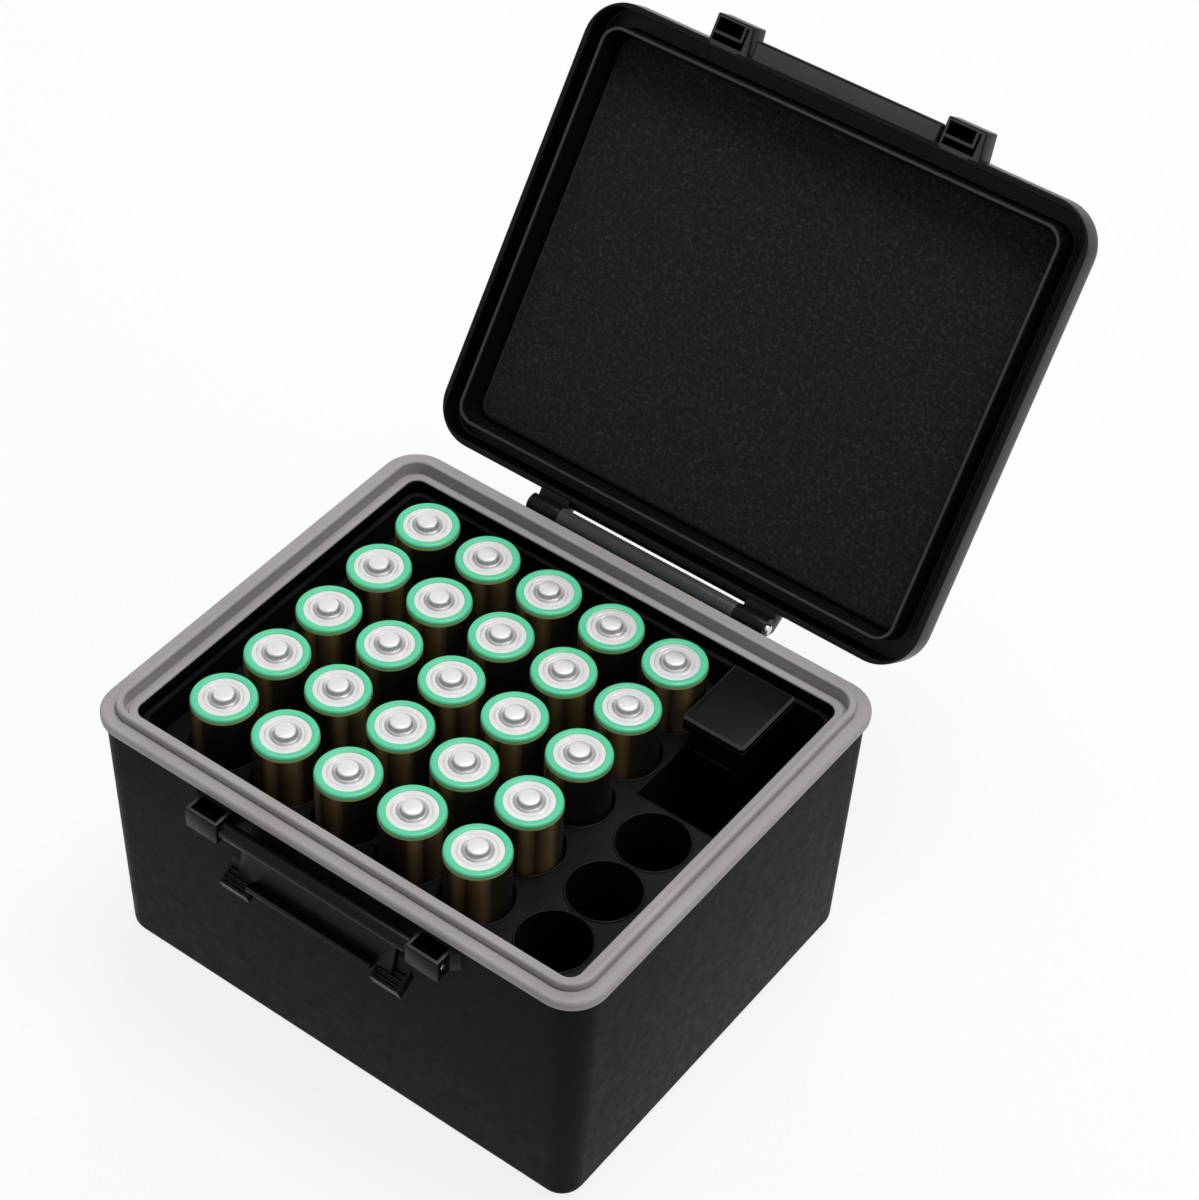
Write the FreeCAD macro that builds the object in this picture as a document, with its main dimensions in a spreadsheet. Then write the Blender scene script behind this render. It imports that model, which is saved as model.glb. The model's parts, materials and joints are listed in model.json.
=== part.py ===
import FreeCAD, Part
import math
import os
import Sketcher

# Battery storage case: a deep box with a rubber seal, a moulded tray of round wells,
# a foam lined lid on a rear pin and a front latch flap. Millimetres, +Z up. The origin
# is the centre of the box's underside, X runs along the front, Y runs back to the hinge.

os.makedirs("parts", exist_ok=True)
doc = FreeCAD.newDocument("BatteryCase")
Vector = FreeCAD.Vector

# Driving dimensions
driving = {
    # cells and wells
    "cell_radius": 7.25,
    "cell_height": 49.3,
    "nub_radius": 2.75,
    "nub_height": 1.2,
    "cell_gap": 0.85,
    "cell_proud": 14.2,
    "well_web": 0.8,
    "well_wall": 0.9,
    "well_floor_wall": 1.5,
    "end_gap": 2.8,
    "column_count": 6,
    "row_count": 5,
    "empty_wells": 3,
    # box
    "box_height": 67.0,
    "box_draft_deg": 1.8,
    "box_wall": 3.0,
    "box_foot_round": 3.0,
    "shoulder_depth": 9.0,
    # seal
    "seal_overhang": 1.13,
    "seal_corner": 8.7,
    "seal_height": 2.3,
    "seal_lip_inset": 3.2,
    "seal_lip_width": 1.5,
    "seal_lip_height": 1.7,
    "seal_ledge_drop": 1.1,
    "seal_mouth_inset": 7.3,
    "seal_mouth_corner": 4.0,
    "seal_skirt_wall": 0.8,
    "seal_skirt_drop": 1.1,
    "seal_round": 0.7,
    "key_width": 1.0,
    "key_height": 2.0,
    # tray
    "tray_margin_x": 4.9,
    "tray_margin_y": 3.8,
    "tray_rim_drop": 2.2,
    "deck_drop": 10.0,
    "tray_wall": 1.2,
    "tray_gap": 0.3,
    "pocket_side_gap": 0.1,
    "pocket_front_gap": 0.6,
    "pocket_depth": 28.0,
    "pocket_edge_round": 1.2,
    # small box in the pocket
    "small_half_x": 6.75,
    "small_half_y": 8.75,
    "small_height": 34.0,
    "small_side_gap": 0.4,
    "small_back_gap": 0.45,
    "small_corner": 1.5,
    "small_cap_height": 4.0,
    "small_cap_lip": 1.2,
    "small_cap_bevel": 0.8,
    # lid, drawn closed
    "lid_inset": 0.85,
    "lid_corner": 10.0,
    "lid_gap": 0.7,
    "lid_height": 11.0,
    "lid_crown_round": 5.5,
    "lip_outer_gap": 0.85,
    "lip_inner_gap": 1.55,
    "lid_channel_depth": 6.0,
    "lid_tongue_wall": 1.0,
    "tongue_gap": 0.3,
    "lid_top_wall": 1.5,
    "foam_inset": 0.55,
    "foam_height": 4.0,
    "foam_round": 0.8,
    "open_deg": 124.0,
    # hinge
    "knuckle_gap": 0.3,
    "hinge_rise": 1.2,
    "knuckle_radius": 2.3,
    "hinge_pin_radius": 1.1,
    "middle_half": 24.1,
    "end_knuckle": 8.0,
    "hinge_side_gap": 0.2,
    "hinge_pin_proud": 0.8,
    "web_drop": 7.5,
    "arm_rise": 5.0,
    # latch
    "latch_drop": 4.5,
    "barrel_radius": 1.9,
    "latch_pin_radius": 0.9,
    "barrel_proud": 0.6,
    "bracket_gap": 0.35,
    "bracket_width": 8.5,
    "bracket_reach": 2.2,
    "bracket_drop": 3.0,
    "bracket_rise": 2.5,
    "bracket_cheek": 0.85,
    "bracket_flare": 3.1,
    "bracket_round": 1.5,
    "flap_half": 23.9,
    "flap_thickness": 1.6,
    "flap_offset": 1.5,
    "flap_rail_gap": 0.3,
    "flap_hook_height": 1.3,
    "flap_hook_reach": 2.3,
    "flap_root_rise": 3.0,
    "plate_inset": 3.4,
    "tab_width": 7.4,
    "grip_reach": 3.4,
    "grip_rise": 3.3,
    "tab_edge_reach": 1.6,
    "tab_edge_rise": 2.5,
    "tab_depth": 1.9,
    "tab_depth_rise": 2.1,
    "tab_root": 1.3,
    "tab_round": 0.6,
    "hang_deg": 167.0,
    # catch on the lid
    "rail_height": 2.0,
    "rail_round": 0.9,
    "catch_side_gap": 0.4,
    "catch_width": 10.0,
    "catch_reach": 6.1,
    "catch_height": 6.0,
    "catch_flare": 1.5,
    "catch_wall": 1.0,
    "catch_gap": 1.5,
    "catch_gap_depth": 3.0,
    "window_width": 7.0,
    "window_depth": 4.5,
    # fits
    "pin_fit": 0.05,
    "key_fit": 0.1,
    "overrun": 1.0,
}

sheet = doc.addObject("Spreadsheet::Sheet", "Sizes")
for row, (alias, number) in enumerate(driving.items(), start=1):
    sheet.set("A%d" % row, alias)
    sheet.set("B%d" % row, str(number))
    sheet.setAlias("B%d" % row, alias)
doc.recompute()


class Size:
    """A length with the sheet formula that it comes from."""

    def __init__(self, value, formula):
        self.value = value
        self.formula = formula

    def __add__(self, other):
        return Size(self.value + other.value, "(%s + %s)" % (self.formula, other.formula))

    def __sub__(self, other):
        return Size(self.value - other.value, "(%s - %s)" % (self.formula, other.formula))

    def __mul__(self, share):
        return Size(self.value * share, "(%s * %s)" % (self.formula, share))

    def __neg__(self):
        return Size(-self.value, "(-%s)" % self.formula)


def size(alias):
    """A driving dimension by its name in the sheet."""
    return Size(float(sheet.get(alias)), "Sizes.%s" % alias)


ZERO = Size(0.0, "0")
HALF = 0.5
over = size("overrun")


def bind(item, prop, length):
    item.setExpression(prop, length.formula)


def new_body(label):
    body = doc.addObject("PartDesign::Body", label)
    body.Label = label
    return body


def new_sketch(body, name, level=ZERO, role="XY_Plane"):
    """A sketch on one of the body's own origin planes, moved along its normal."""
    sketch = body.newObject("Sketcher::SketchObject", name)
    plane = [item for item in body.Origin.OriginFeatures if item.Role == role][0]
    sketch.AttachmentSupport = [(plane, "")]
    sketch.MapMode = "FlatFace"
    sketch.setExpression("AttachmentOffset.Base.z", level.formula)
    return sketch


def fix(sketch, kind, length, *where):
    """A sketch dimension bound to the sheet. Distances are signed, from the origin."""
    number = sketch.addConstraint(Sketcher.Constraint(kind, *where, length.value))
    sketch.setExpression("Constraints[%d]" % number, length.formula)


def fix_point(sketch, x, y, curve, point):
    """Places one point of a curve at x, y."""
    for kind, lock, length in (("DistanceX", 2, x), ("DistanceY", 1, y)):
        if length.value == 0.0:
            sketch.addConstraint(Sketcher.Constraint("PointOnObject", curve, point, -lock))
        else:
            fix(sketch, kind, length, -1, 1, curve, point)


def rounded_loop(sketch, left, right, front, back, radius):
    """A closed rectangle with four equal round corners."""
    centres = ((right - radius, back - radius), (left + radius, back - radius),
               (left + radius, front + radius), (right - radius, front + radius))
    quarter = math.pi * HALF
    arcs = []
    for turn, (x, y) in enumerate(centres):
        circle = Part.Circle(Vector(x.value, y.value, 0), Vector(0, 0, 1), radius.value)
        arc = Part.ArcOfCircle(circle, turn * quarter, (turn + 1) * quarter)
        arcs.append(sketch.addGeometry(arc, False))
    for turn in range(4):
        this_arc = arcs[turn]
        next_arc = arcs[(turn + 1) % 4]
        start = sketch.Geometry[this_arc].EndPoint
        end = sketch.Geometry[next_arc].StartPoint
        line = sketch.addGeometry(Part.LineSegment(start, end), False)
        sketch.addConstraint(Sketcher.Constraint("Tangent", this_arc, 2, line, 1))
        sketch.addConstraint(Sketcher.Constraint("Tangent", line, 2, next_arc, 1))
    for arc, (x, y) in zip(arcs, centres):
        fix_point(sketch, x, y, arc, 3)
        fix(sketch, "Radius", radius, arc)


def centred_loop(sketch, half_x, half_y, radius):
    rounded_loop(sketch, -half_x, half_x, -half_y, half_y, radius)


def straight_loop(sketch, points):
    """A closed outline of straight lines through points in named sizes."""
    lines = []
    for place, (x, y) in enumerate(points):
        following = points[(place + 1) % len(points)]
        start = Vector(x.value, y.value, 0)
        end = Vector(following[0].value, following[1].value, 0)
        lines.append(sketch.addGeometry(Part.LineSegment(start, end), False))
    for place, line in enumerate(lines):
        after = lines[(place + 1) % len(lines)]
        sketch.addConstraint(Sketcher.Constraint("Coincident", line, 2, after, 1))
    for line, (x, y) in zip(lines, points):
        fix_point(sketch, x, y, line, 1)


def round_loop(sketch, x, y, radius):
    circle = Part.Circle(Vector(x.value, y.value, 0), Vector(0, 0, 1), radius.value)
    number = sketch.addGeometry(circle, False)
    fix_point(sketch, x, y, number, 3)
    fix(sketch, "Radius", radius, number)


def grow(body, kind, name, sketch, length, turned=False, both=False):
    """A pad or a pocket of a sketch, with its length bound to the sheet."""
    before = body.Shape.Volume if body.Tip else 0.0
    feature = body.newObject("PartDesign::" + kind, name)
    feature.Profile = sketch
    feature.Reversed = turned
    feature.Midplane = both
    bind(feature, "Length", length)
    doc.recompute()
    gained = feature.Shape.Volume - before
    assert (gained > 0) == (kind == "Pad"), "%s of %s points the wrong way" % (name, body.Label)
    return feature


def pad(body, name, sketch, length, **options):
    return grow(body, "Pad", name, sketch, length, **options)


def pocket_up(body, name, sketch, length, **options):
    """Cuts from the sketch in the direction of its normal."""
    return grow(body, "Pocket", name, sketch, length, turned=True, **options)


def edges_at(feature, test):
    """Names of the edges whose every end and middle passes a test."""
    found = []
    for number, edge in enumerate(feature.Shape.Edges, start=1):
        middle = edge.valueAt((edge.FirstParameter + edge.LastParameter) * HALF)
        points = [vertex.Point for vertex in edge.Vertexes] + [middle]
        if all(test(point) for point in points):
            found.append("Edge%d" % number)
    return found


def soften(body, name, feature, edges, radius, kind="Fillet"):
    """A fillet or a chamfer on named edges."""
    blend = body.newObject("PartDesign::" + kind, name)
    blend.Base = (feature, edges)
    bind(blend, "Radius" if kind == "Fillet" else "Size", radius)
    doc.recompute()
    return blend


def near(number, length):
    return abs(number - length.value) < over.value * touch_share


touch_share = 0.01

# Sizes that several pieces share, from the cells outwards
HALF_TURN = 180.0
floor_wall = size("box_wall")
box_height = size("box_height")
draft = size("box_draft_deg")
rim_spread = Size(box_height.value * math.tan(draft.value * math.pi / HALF_TURN),
                  "(%s * tan(%s))" % (box_height.formula, draft.formula))

full_columns = driving["column_count"] - 1
well_radius = size("cell_radius") + size("cell_gap")
tube_radius = well_radius + size("well_wall")
well_pitch = well_radius * 2 + size("well_web")
last_x = (well_pitch * full_columns + size("end_gap")) * HALF
first_x = -last_x
last_full_x = first_x + well_pitch * (full_columns - 1)
first_y = -well_pitch * (HALF * (driving["row_count"] - 1))
last_empty_y = first_y + well_pitch * (driving["empty_wells"] - 1)
deck = box_height - size("deck_drop")
well_depth = size("cell_height") - size("cell_proud")
well_floor_level = deck - well_depth
pocket_floor = deck - size("pocket_depth")

tray_half_x = last_x + tube_radius + size("tray_margin_x")
tray_half_y = -first_y + tube_radius + size("tray_margin_y")
mouth_half_x = tray_half_x + size("tray_gap")
mouth_half_y = tray_half_y + size("tray_gap")
mouth_corner = size("seal_mouth_corner")
pocket_left = last_full_x + tube_radius + size("pocket_side_gap")
pocket_right = tray_half_x - size("tray_wall")
pocket_front = last_empty_y + tube_radius + size("pocket_front_gap")
pocket_back = tray_half_y - size("tray_wall")

seal_half_x = mouth_half_x + size("seal_mouth_inset")
seal_half_y = mouth_half_y + size("seal_mouth_inset")
seal_corner = size("seal_corner")
skirt_half_x = mouth_half_x + size("seal_skirt_wall")
skirt_half_y = mouth_half_y + size("seal_skirt_wall")
skirt_corner = mouth_corner + size("seal_skirt_wall")
opening_half_x = skirt_half_x + size("key_fit")
opening_half_y = skirt_half_y + size("key_fit")
opening_corner = skirt_corner + size("key_fit")
key_inset = size("seal_lip_inset") + (size("seal_lip_width") - size("key_width")) * HALF
flange_top = box_height + size("seal_height")
lip_top = flange_top + size("seal_lip_height")
ledge = flange_top - size("seal_ledge_drop")

box_half_x = seal_half_x - size("seal_overhang")
box_half_y = seal_half_y - size("seal_overhang")
box_corner = seal_corner - size("seal_overhang")
rooted_y = box_half_y - floor_wall * HALF

lid_rim = flange_top + size("lid_gap")
lid_half_x = seal_half_x - size("lid_inset")
lid_half_y = seal_half_y - size("lid_inset")
lid_inside = lid_rim + size("lid_height") - size("lid_top_wall")
lid_band = size("seal_lip_inset") - size("lip_outer_gap") - size("lid_inset")
tongue_inset = (size("seal_lip_inset") + size("seal_lip_width") + size("lip_inner_gap")
                - size("lid_inset"))
tongue_drop = lid_rim - ledge - size("tongue_gap")
cavity_inset = tongue_inset + size("lid_tongue_wall")

hinge_y = seal_half_y + size("knuckle_radius") + size("knuckle_gap")
hinge_level = box_height + size("hinge_rise")
end_knuckle_outer = size("middle_half") + size("hinge_side_gap") + size("end_knuckle")
latch_y = -(seal_half_y + size("barrel_radius"))
latch_level = box_height - size("latch_drop")
barrel_half = size("flap_half") + size("barrel_proud")
bracket_inner = barrel_half + size("bracket_gap")
bracket_outer = bracket_inner + size("bracket_width")
flap_inner_y = latch_y - size("flap_offset")
rail_front = flap_inner_y + size("flap_rail_gap")
hook_level = lid_rim + size("rail_height") + size("flap_rail_gap")


def make_box_body():
    """The deep box: drafted walls, a thick shoulder under the seal, brackets and knuckle."""
    body = new_body("box_body")
    outline = new_sketch(body, "BaseOutline")
    half_x = box_half_x - rim_spread
    half_y = box_half_y - rim_spread
    corner = box_corner - rim_spread
    centred_loop(outline, half_x, half_y, corner)
    shell = pad(body, "Walls", outline, box_height)
    bind(shell, "TaperAngle", draft)
    doc.recompute()

    foot = edges_at(shell, lambda point: near(point.z, ZERO))
    soften(body, "FootRound", shell, foot, size("box_foot_round"))

    inner = new_sketch(body, "InnerOutline", floor_wall)
    inset = floor_wall
    centred_loop(inner, half_x - inset, half_y - inset, corner - inset * HALF)
    shoulder_level = box_height - size("shoulder_depth")
    hollow = pocket_up(body, "Hollow", inner, shoulder_level - floor_wall)
    bind(hollow, "TaperAngle", draft)
    doc.recompute()

    opening = new_sketch(body, "OpeningOutline", shoulder_level - over)
    centred_loop(opening, opening_half_x, opening_half_y, opening_corner)
    pocket_up(body, "Opening", opening, size("shoulder_depth") + over * 2)

    key = new_sketch(body, "KeyOutline", box_height)
    inner_inset = key_inset + size("key_width")
    centred_loop(key, seal_half_x - key_inset, seal_half_y - key_inset,
                 seal_corner - key_inset)
    centred_loop(key, seal_half_x - inner_inset, seal_half_y - inner_inset,
                 seal_corner - inner_inset)
    pad(body, "SealKey", key, size("key_height") - size("key_fit"))

    add_front_brackets(body)
    add_middle_knuckle(body)
    return body


def add_front_brackets(body):
    """Two hollow brackets that carry the latch pin, with ends flared into the wall."""
    front = latch_y - size("bracket_reach")
    low = latch_level - size("bracket_drop")
    height = size("bracket_drop") + size("bracket_rise")
    wall = -rooted_y
    flare = bracket_outer + size("bracket_flare")
    cheek = size("bracket_cheek")
    outline = new_sketch(body, "BracketOutline", low)
    well = new_sketch(body, "BracketWellOutline", low + cheek)
    for side in (1, -1):
        inner = bracket_inner * side
        outer = bracket_outer * side
        straight_loop(outline, ((inner, wall), (inner, front), (outer, front),
                                (flare * side, wall)))
        left = (bracket_inner + cheek) * side
        right = (bracket_outer - cheek) * side
        back = front + size("bracket_reach") * 2 - cheek
        straight_loop(well, ((left, back), (left, front + cheek), (right, front + cheek),
                             (right, back)))
    block = pad(body, "Brackets", outline, height)
    top = latch_level + size("bracket_rise")
    edge = edges_at(block, lambda point: near(point.z, top) and near(point.y, front))
    soften(body, "BracketRound", block, edge, size("bracket_round"))
    pocket_up(body, "BracketWells", well, height)
    hole = new_sketch(body, "LatchPinHole", role="YZ_Plane")
    round_loop(hole, latch_y, latch_level, size("latch_pin_radius") + size("pin_fit"))
    grow(body, "Pocket", "LatchPinBore", hole, (bracket_outer + over) * 2, both=True)


def add_middle_knuckle(body):
    """The long knuckle behind the rear wall, on a web that slopes up from the wall."""
    web = new_sketch(body, "WebOutline", role="YZ_Plane")
    radius = size("knuckle_radius")
    top = box_height - size("key_fit") * 2
    straight_loop(web, ((rooted_y, top), (hinge_y - radius * HALF, top),
                        (hinge_y, hinge_level), (hinge_y + radius, hinge_level),
                        (rooted_y, box_height - size("web_drop"))))
    length = size("middle_half") * 2
    pad(body, "HingeWeb", web, length, both=True)
    ring = new_sketch(body, "KnuckleOutline", role="YZ_Plane")
    round_loop(ring, hinge_y, hinge_level, radius)
    pad(body, "HingeKnuckle", ring, length, both=True)
    hole = new_sketch(body, "HingePinHole", role="YZ_Plane")
    round_loop(hole, hinge_y, hinge_level, size("hinge_pin_radius") + size("pin_fit"))
    grow(body, "Pocket", "HingePinBore", hole, length + over * 2, both=True)


def make_rim_gasket():
    """The seal: a flange over the rim, a raised lip, an inner ledge and a skirt."""
    body = new_body("rim_gasket")

    def ring_loop(sketch, inset):
        centred_loop(sketch, seal_half_x - inset, seal_half_y - inset, seal_corner - inset)

    flange = new_sketch(body, "FlangeOutline", box_height)
    ring_loop(flange, ZERO)
    pad(body, "Flange", flange, size("seal_height"))
    lip = new_sketch(body, "LipOutline", box_height)
    ring_loop(lip, size("seal_lip_inset"))
    pad(body, "Lip", lip, lip_top - box_height)
    skirt = new_sketch(body, "SkirtOutline", box_height - size("seal_skirt_drop"))
    centred_loop(skirt, skirt_half_x, skirt_half_y, skirt_corner)
    pad(body, "Skirt", skirt, size("seal_skirt_drop"))
    step = new_sketch(body, "LedgeOutline", ledge)
    ring_loop(step, size("seal_lip_inset") + size("seal_lip_width"))
    pocket_up(body, "Ledge", step, lip_top - ledge + over)
    mouth = new_sketch(body, "MouthOutline", box_height - size("seal_skirt_drop") - over)
    centred_loop(mouth, mouth_half_x, mouth_half_y, mouth_corner)
    pocket_up(body, "Mouth", mouth, lip_top)
    groove = new_sketch(body, "GrooveOutline", box_height - over)
    ring_loop(groove, key_inset - size("key_fit"))
    ring_loop(groove, key_inset + size("key_width") + size("key_fit"))
    cut = pocket_up(body, "KeyGroove", groove, size("key_height") + over)

    edges = edges_at(cut, lambda point: near(point.z, flange_top)
                     and near(point.y, -seal_half_y))
    soften(body, "FlangeRound", cut, edges, size("seal_round"))
    return body


def make_tray_insert():
    """The tray: a skirt on the box floor, a deck, round wells and a pocket."""
    body = new_body("tray_insert")
    half_x = tray_half_x
    half_y = tray_half_y
    corner = mouth_corner - size("tray_gap")
    wall = size("tray_wall")
    tube_low = well_floor_level - size("well_floor_wall")
    skirt = new_sketch(body, "SkirtOutline", floor_wall)
    centred_loop(skirt, half_x, half_y, corner)
    pad(body, "Skirt", skirt, box_height - size("tray_rim_drop") - floor_wall)
    upper = new_sketch(body, "UpperOutline", deck)
    centred_loop(upper, half_x - wall, half_y - wall, corner - wall)
    pocket_up(body, "AboveDeck", upper, size("deck_drop"))
    lower = new_sketch(body, "LowerOutline", floor_wall - over)
    centred_loop(lower, half_x - wall, half_y - wall, corner - wall)
    pocket_up(body, "BelowDeck", lower, deck - wall - floor_wall + over)

    # the pocket's walls and floor hang from the deck
    sides = new_sketch(body, "PocketWalls", pocket_floor - wall)
    straight_loop(sides, ((pocket_left - size("well_wall"), pocket_front - size("well_wall")),
                          (half_x - wall * HALF, pocket_front - size("well_wall")),
                          (half_x - wall * HALF, half_y - wall * HALF),
                          (pocket_left - size("well_wall"), half_y - wall * HALF)))
    pad(body, "PocketBlock", sides, deck - pocket_floor + wall * HALF)

    for name, x, columns, rows in (("Tubes", first_x, full_columns, driving["row_count"]),
                                   ("EndTubes", last_x, 1, driving["empty_wells"])):
        outline = new_sketch(body, name + "Outline", tube_low)
        round_loop(outline, x, first_y, tube_radius)
        tube = pad(body, name + "First", outline, deck - tube_low - wall * HALF)
        repeat(body, name, tube, columns, rows)
    for name, x, columns, rows in (("Wells", first_x, full_columns, driving["row_count"]),
                                   ("EndWells", last_x, 1, driving["empty_wells"])):
        outline = new_sketch(body, name + "Outline", well_floor_level)
        round_loop(outline, x, first_y, well_radius)
        well = pocket_up(body, name + "First", outline, well_depth + over)
        repeat(body, name, well, columns, rows)

    hollow = new_sketch(body, "PocketOutline", pocket_floor)
    straight_loop(hollow, ((pocket_left, pocket_front), (pocket_right, pocket_front),
                           (pocket_right, pocket_back), (pocket_left, pocket_back)))
    cut = pocket_up(body, "Pocket", hollow, deck - pocket_floor + over)
    lip = edges_at(cut, lambda point: near(point.z, deck) and near(point.y, pocket_front))
    soften(body, "PocketEdge", cut, lip, size("pocket_edge_round"))
    return body


def repeat(body, name, feature, columns, rows):
    """Copies a feature to the right and to the back at the well pitch."""
    steps = []
    grid = body.newObject("PartDesign::MultiTransform", name)
    for label, role, count in (("Along", "X_Axis", columns), ("Across", "Y_Axis", rows)):
        if count > 1:
            step = doc.addObject("PartDesign::LinearPattern", name + label)
            axis = [item for item in body.Origin.OriginFeatures if item.Role == role][0]
            step.Direction = (axis, [""])
            step.Mode = "Spacing"
            bind(step, "Offset", well_pitch)
            step.Occurrences = count
            steps.append(step)
            body.addObject(step)
    grid.Originals = [feature]
    grid.Transformations = steps
    body.Tip = grid
    doc.recompute()


def cylinder(name, radius, height, x, y, z):
    """An upright cylinder on x, y, z."""
    item = doc.addObject("Part::Cylinder", name)
    bind(item, "Radius", radius)
    bind(item, "Height", height)
    for axis, length in (("x", x), ("y", y), ("z", z)):
        bind(item, "Placement.Base." + axis, length)
    return item


def make_cell(row, column):
    """One round cell that stands on its well floor: the can and the nub on its top."""
    x = first_x + well_pitch * column
    y = first_y + well_pitch * row
    top = well_floor_level + size("cell_height")
    label = "cell_r%dc%d" % (row + 1, column + 1)
    cell = doc.addObject("Part::Fuse", label)
    cell.Base = cylinder(label + "_can", size("cell_radius"), size("cell_height"),
                         x, y, well_floor_level)
    cell.Tool = cylinder(label + "_nub", size("nub_radius"), size("nub_height"), x, y, top)
    cell.Label = label
    return cell


def make_small_box():
    """The closed box in the pocket, and its cap with an overhanging edge."""
    half_x = size("small_half_x")
    half_y = size("small_half_y")
    lip = size("small_cap_lip")
    x = pocket_left + size("small_side_gap") + half_x
    y = pocket_back - size("small_back_gap") - lip - half_y
    box = new_body("corner_box")
    outline = new_sketch(box, "Outline", pocket_floor)
    rounded_loop(outline, x - half_x, x + half_x, y - half_y, y + half_y, size("small_corner"))
    pad(box, "Walls", outline, size("small_height"))
    cap = new_body("corner_box_cap")
    cap_level = pocket_floor + size("small_height")
    cap_top = cap_level + size("small_cap_height")
    plan = new_sketch(cap, "CapOutline", cap_level)
    rounded_loop(plan, x - half_x - lip, x + half_x + lip, y - half_y - lip,
                 y + half_y + lip, size("small_corner") + lip)
    plate = pad(cap, "Plate", plan, size("small_cap_height"))
    edge = edges_at(plate, lambda point: near(point.z, cap_top))
    soften(cap, "CapBevel", plate, edge, size("small_cap_bevel"), kind="Chamfer")
    return [box, cap]


def open_lid(body):
    """Turns a piece that is drawn closed to the lid's open place."""
    body.setExpression("Placement", "placement(vector(0; 0; 0); rotation(vector(1; 0; 0); "
                       "-Sizes.open_deg); vector(0; %s; %s))"
                       % (hinge_y.formula, hinge_level.formula))


def make_lid_shell():
    """The lid: band, channel and tongue at the rim, catch rail, brackets and arms."""
    body = new_body("lid_shell")

    def lid_loop(sketch, inset, outer_corner=size("lid_corner")):
        centred_loop(sketch, lid_half_x - inset, lid_half_y - inset, outer_corner - inset)

    outline = new_sketch(body, "LidOutline", lid_rim)
    lid_loop(outline, ZERO)
    crown = pad(body, "Crown", outline, size("lid_height"))
    top = lid_rim + size("lid_height")
    edge = edges_at(crown, lambda point: near(point.z, top))
    soften(body, "CrownRound", crown, edge, size("lid_crown_round"))
    cavity = new_sketch(body, "CavityOutline", lid_rim)
    lid_loop(cavity, cavity_inset)
    pocket_up(body, "Cavity", cavity, lid_inside - lid_rim)
    channel = new_sketch(body, "ChannelOutline", lid_rim)
    # the channel's outer side runs parallel to the seal's lip, round the corners too
    lid_loop(channel, lid_band, seal_corner - size("lid_inset"))
    lid_loop(channel, tongue_inset)
    pocket_up(body, "Channel", channel, size("lid_channel_depth"))
    tongue = new_sketch(body, "TongueOutline", lid_rim - tongue_drop)
    lid_loop(tongue, tongue_inset)
    lid_loop(tongue, cavity_inset)
    pad(body, "Tongue", tongue, tongue_drop)
    add_catch(body)
    add_hinge_arms(body)
    open_lid(body)
    return body


def add_catch(body):
    """The rail that the flap hooks over, between two brackets open at their underside."""
    wall = -(lid_half_y - lid_band * HALF)
    half = size("flap_half")
    plan = new_sketch(body, "RailOutline", lid_rim)
    straight_loop(plan, ((-half, wall), (-half, rail_front), (half, rail_front), (half, wall)))
    rail = pad(body, "CatchRail", plan, size("rail_height"))
    low_edge = edges_at(rail, lambda point: near(point.z, lid_rim) and near(point.y, rail_front))
    soften(body, "RailRound", rail, low_edge, size("rail_round"))

    inner = half + size("catch_side_gap")
    outer = inner + size("catch_width")
    front = -(lid_half_y + size("catch_reach"))
    thin = size("catch_wall")
    gap_back = -(lid_half_y + size("catch_gap"))
    outline = new_sketch(body, "CatchOutline", lid_rim)
    window = new_sketch(body, "WindowOutline", lid_rim - over)
    slot = new_sketch(body, "SlotOutline", lid_rim - over)
    slot_start = inner - (inner - half) * HALF
    for side in (1, -1):
        flared = (outer + size("catch_flare")) * side
        straight_loop(outline, ((inner * side, wall), (inner * side, front),
                                (outer * side, front), (flared, wall)))
        near_x = (inner + thin) * side
        far_x = (inner + thin + size("window_width")) * side
        back = gap_back - thin * HALF
        straight_loop(window, ((near_x, back), (near_x, front + thin),
                               (far_x, front + thin), (far_x, back)))
        straight_loop(slot, ((slot_start * side, -lid_half_y), (slot_start * side, gap_back),
                             (flared + over * side, gap_back),
                             (flared + over * side, -lid_half_y)))
    pad(body, "CatchBrackets", outline, size("catch_height"))
    pocket_up(body, "CatchWindows", window, size("window_depth") + over)
    pocket_up(body, "CatchSlots", slot, size("catch_gap_depth") + over)


def add_hinge_arms(body):
    """An arm and an end knuckle on each side of the box's long knuckle."""
    radius = size("knuckle_radius")
    wall = lid_half_y - lid_band * HALF
    rise = size("arm_rise")
    inner = size("middle_half") + size("hinge_side_gap")
    bore = size("hinge_pin_radius") + size("pin_fit")
    for name, start in (("Right", inner), ("Left", -(inner + size("end_knuckle")))):
        arm = new_sketch(body, name + "ArmOutline", start, role="YZ_Plane")
        straight_loop(arm, ((wall, lid_rim), (hinge_y - radius * arm_start_share, lid_rim),
                            (hinge_y, hinge_level), (hinge_y + radius, hinge_level),
                            (hinge_y + radius * HALF, lid_rim + rise * HALF),
                            (wall, lid_rim + rise)))
        pad(body, name + "Arm", arm, size("end_knuckle"))
        ring = new_sketch(body, name + "KnuckleOutline", start, role="YZ_Plane")
        round_loop(ring, hinge_y, hinge_level, radius)
        pad(body, name + "Knuckle", ring, size("end_knuckle"))
    hole = new_sketch(body, "HingePinHole", role="YZ_Plane")
    round_loop(hole, hinge_y, hinge_level, bore)
    grow(body, "Pocket", "HingePinBore", hole, (end_knuckle_outer + over) * 2, both=True)


arm_start_share = 0.8


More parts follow.
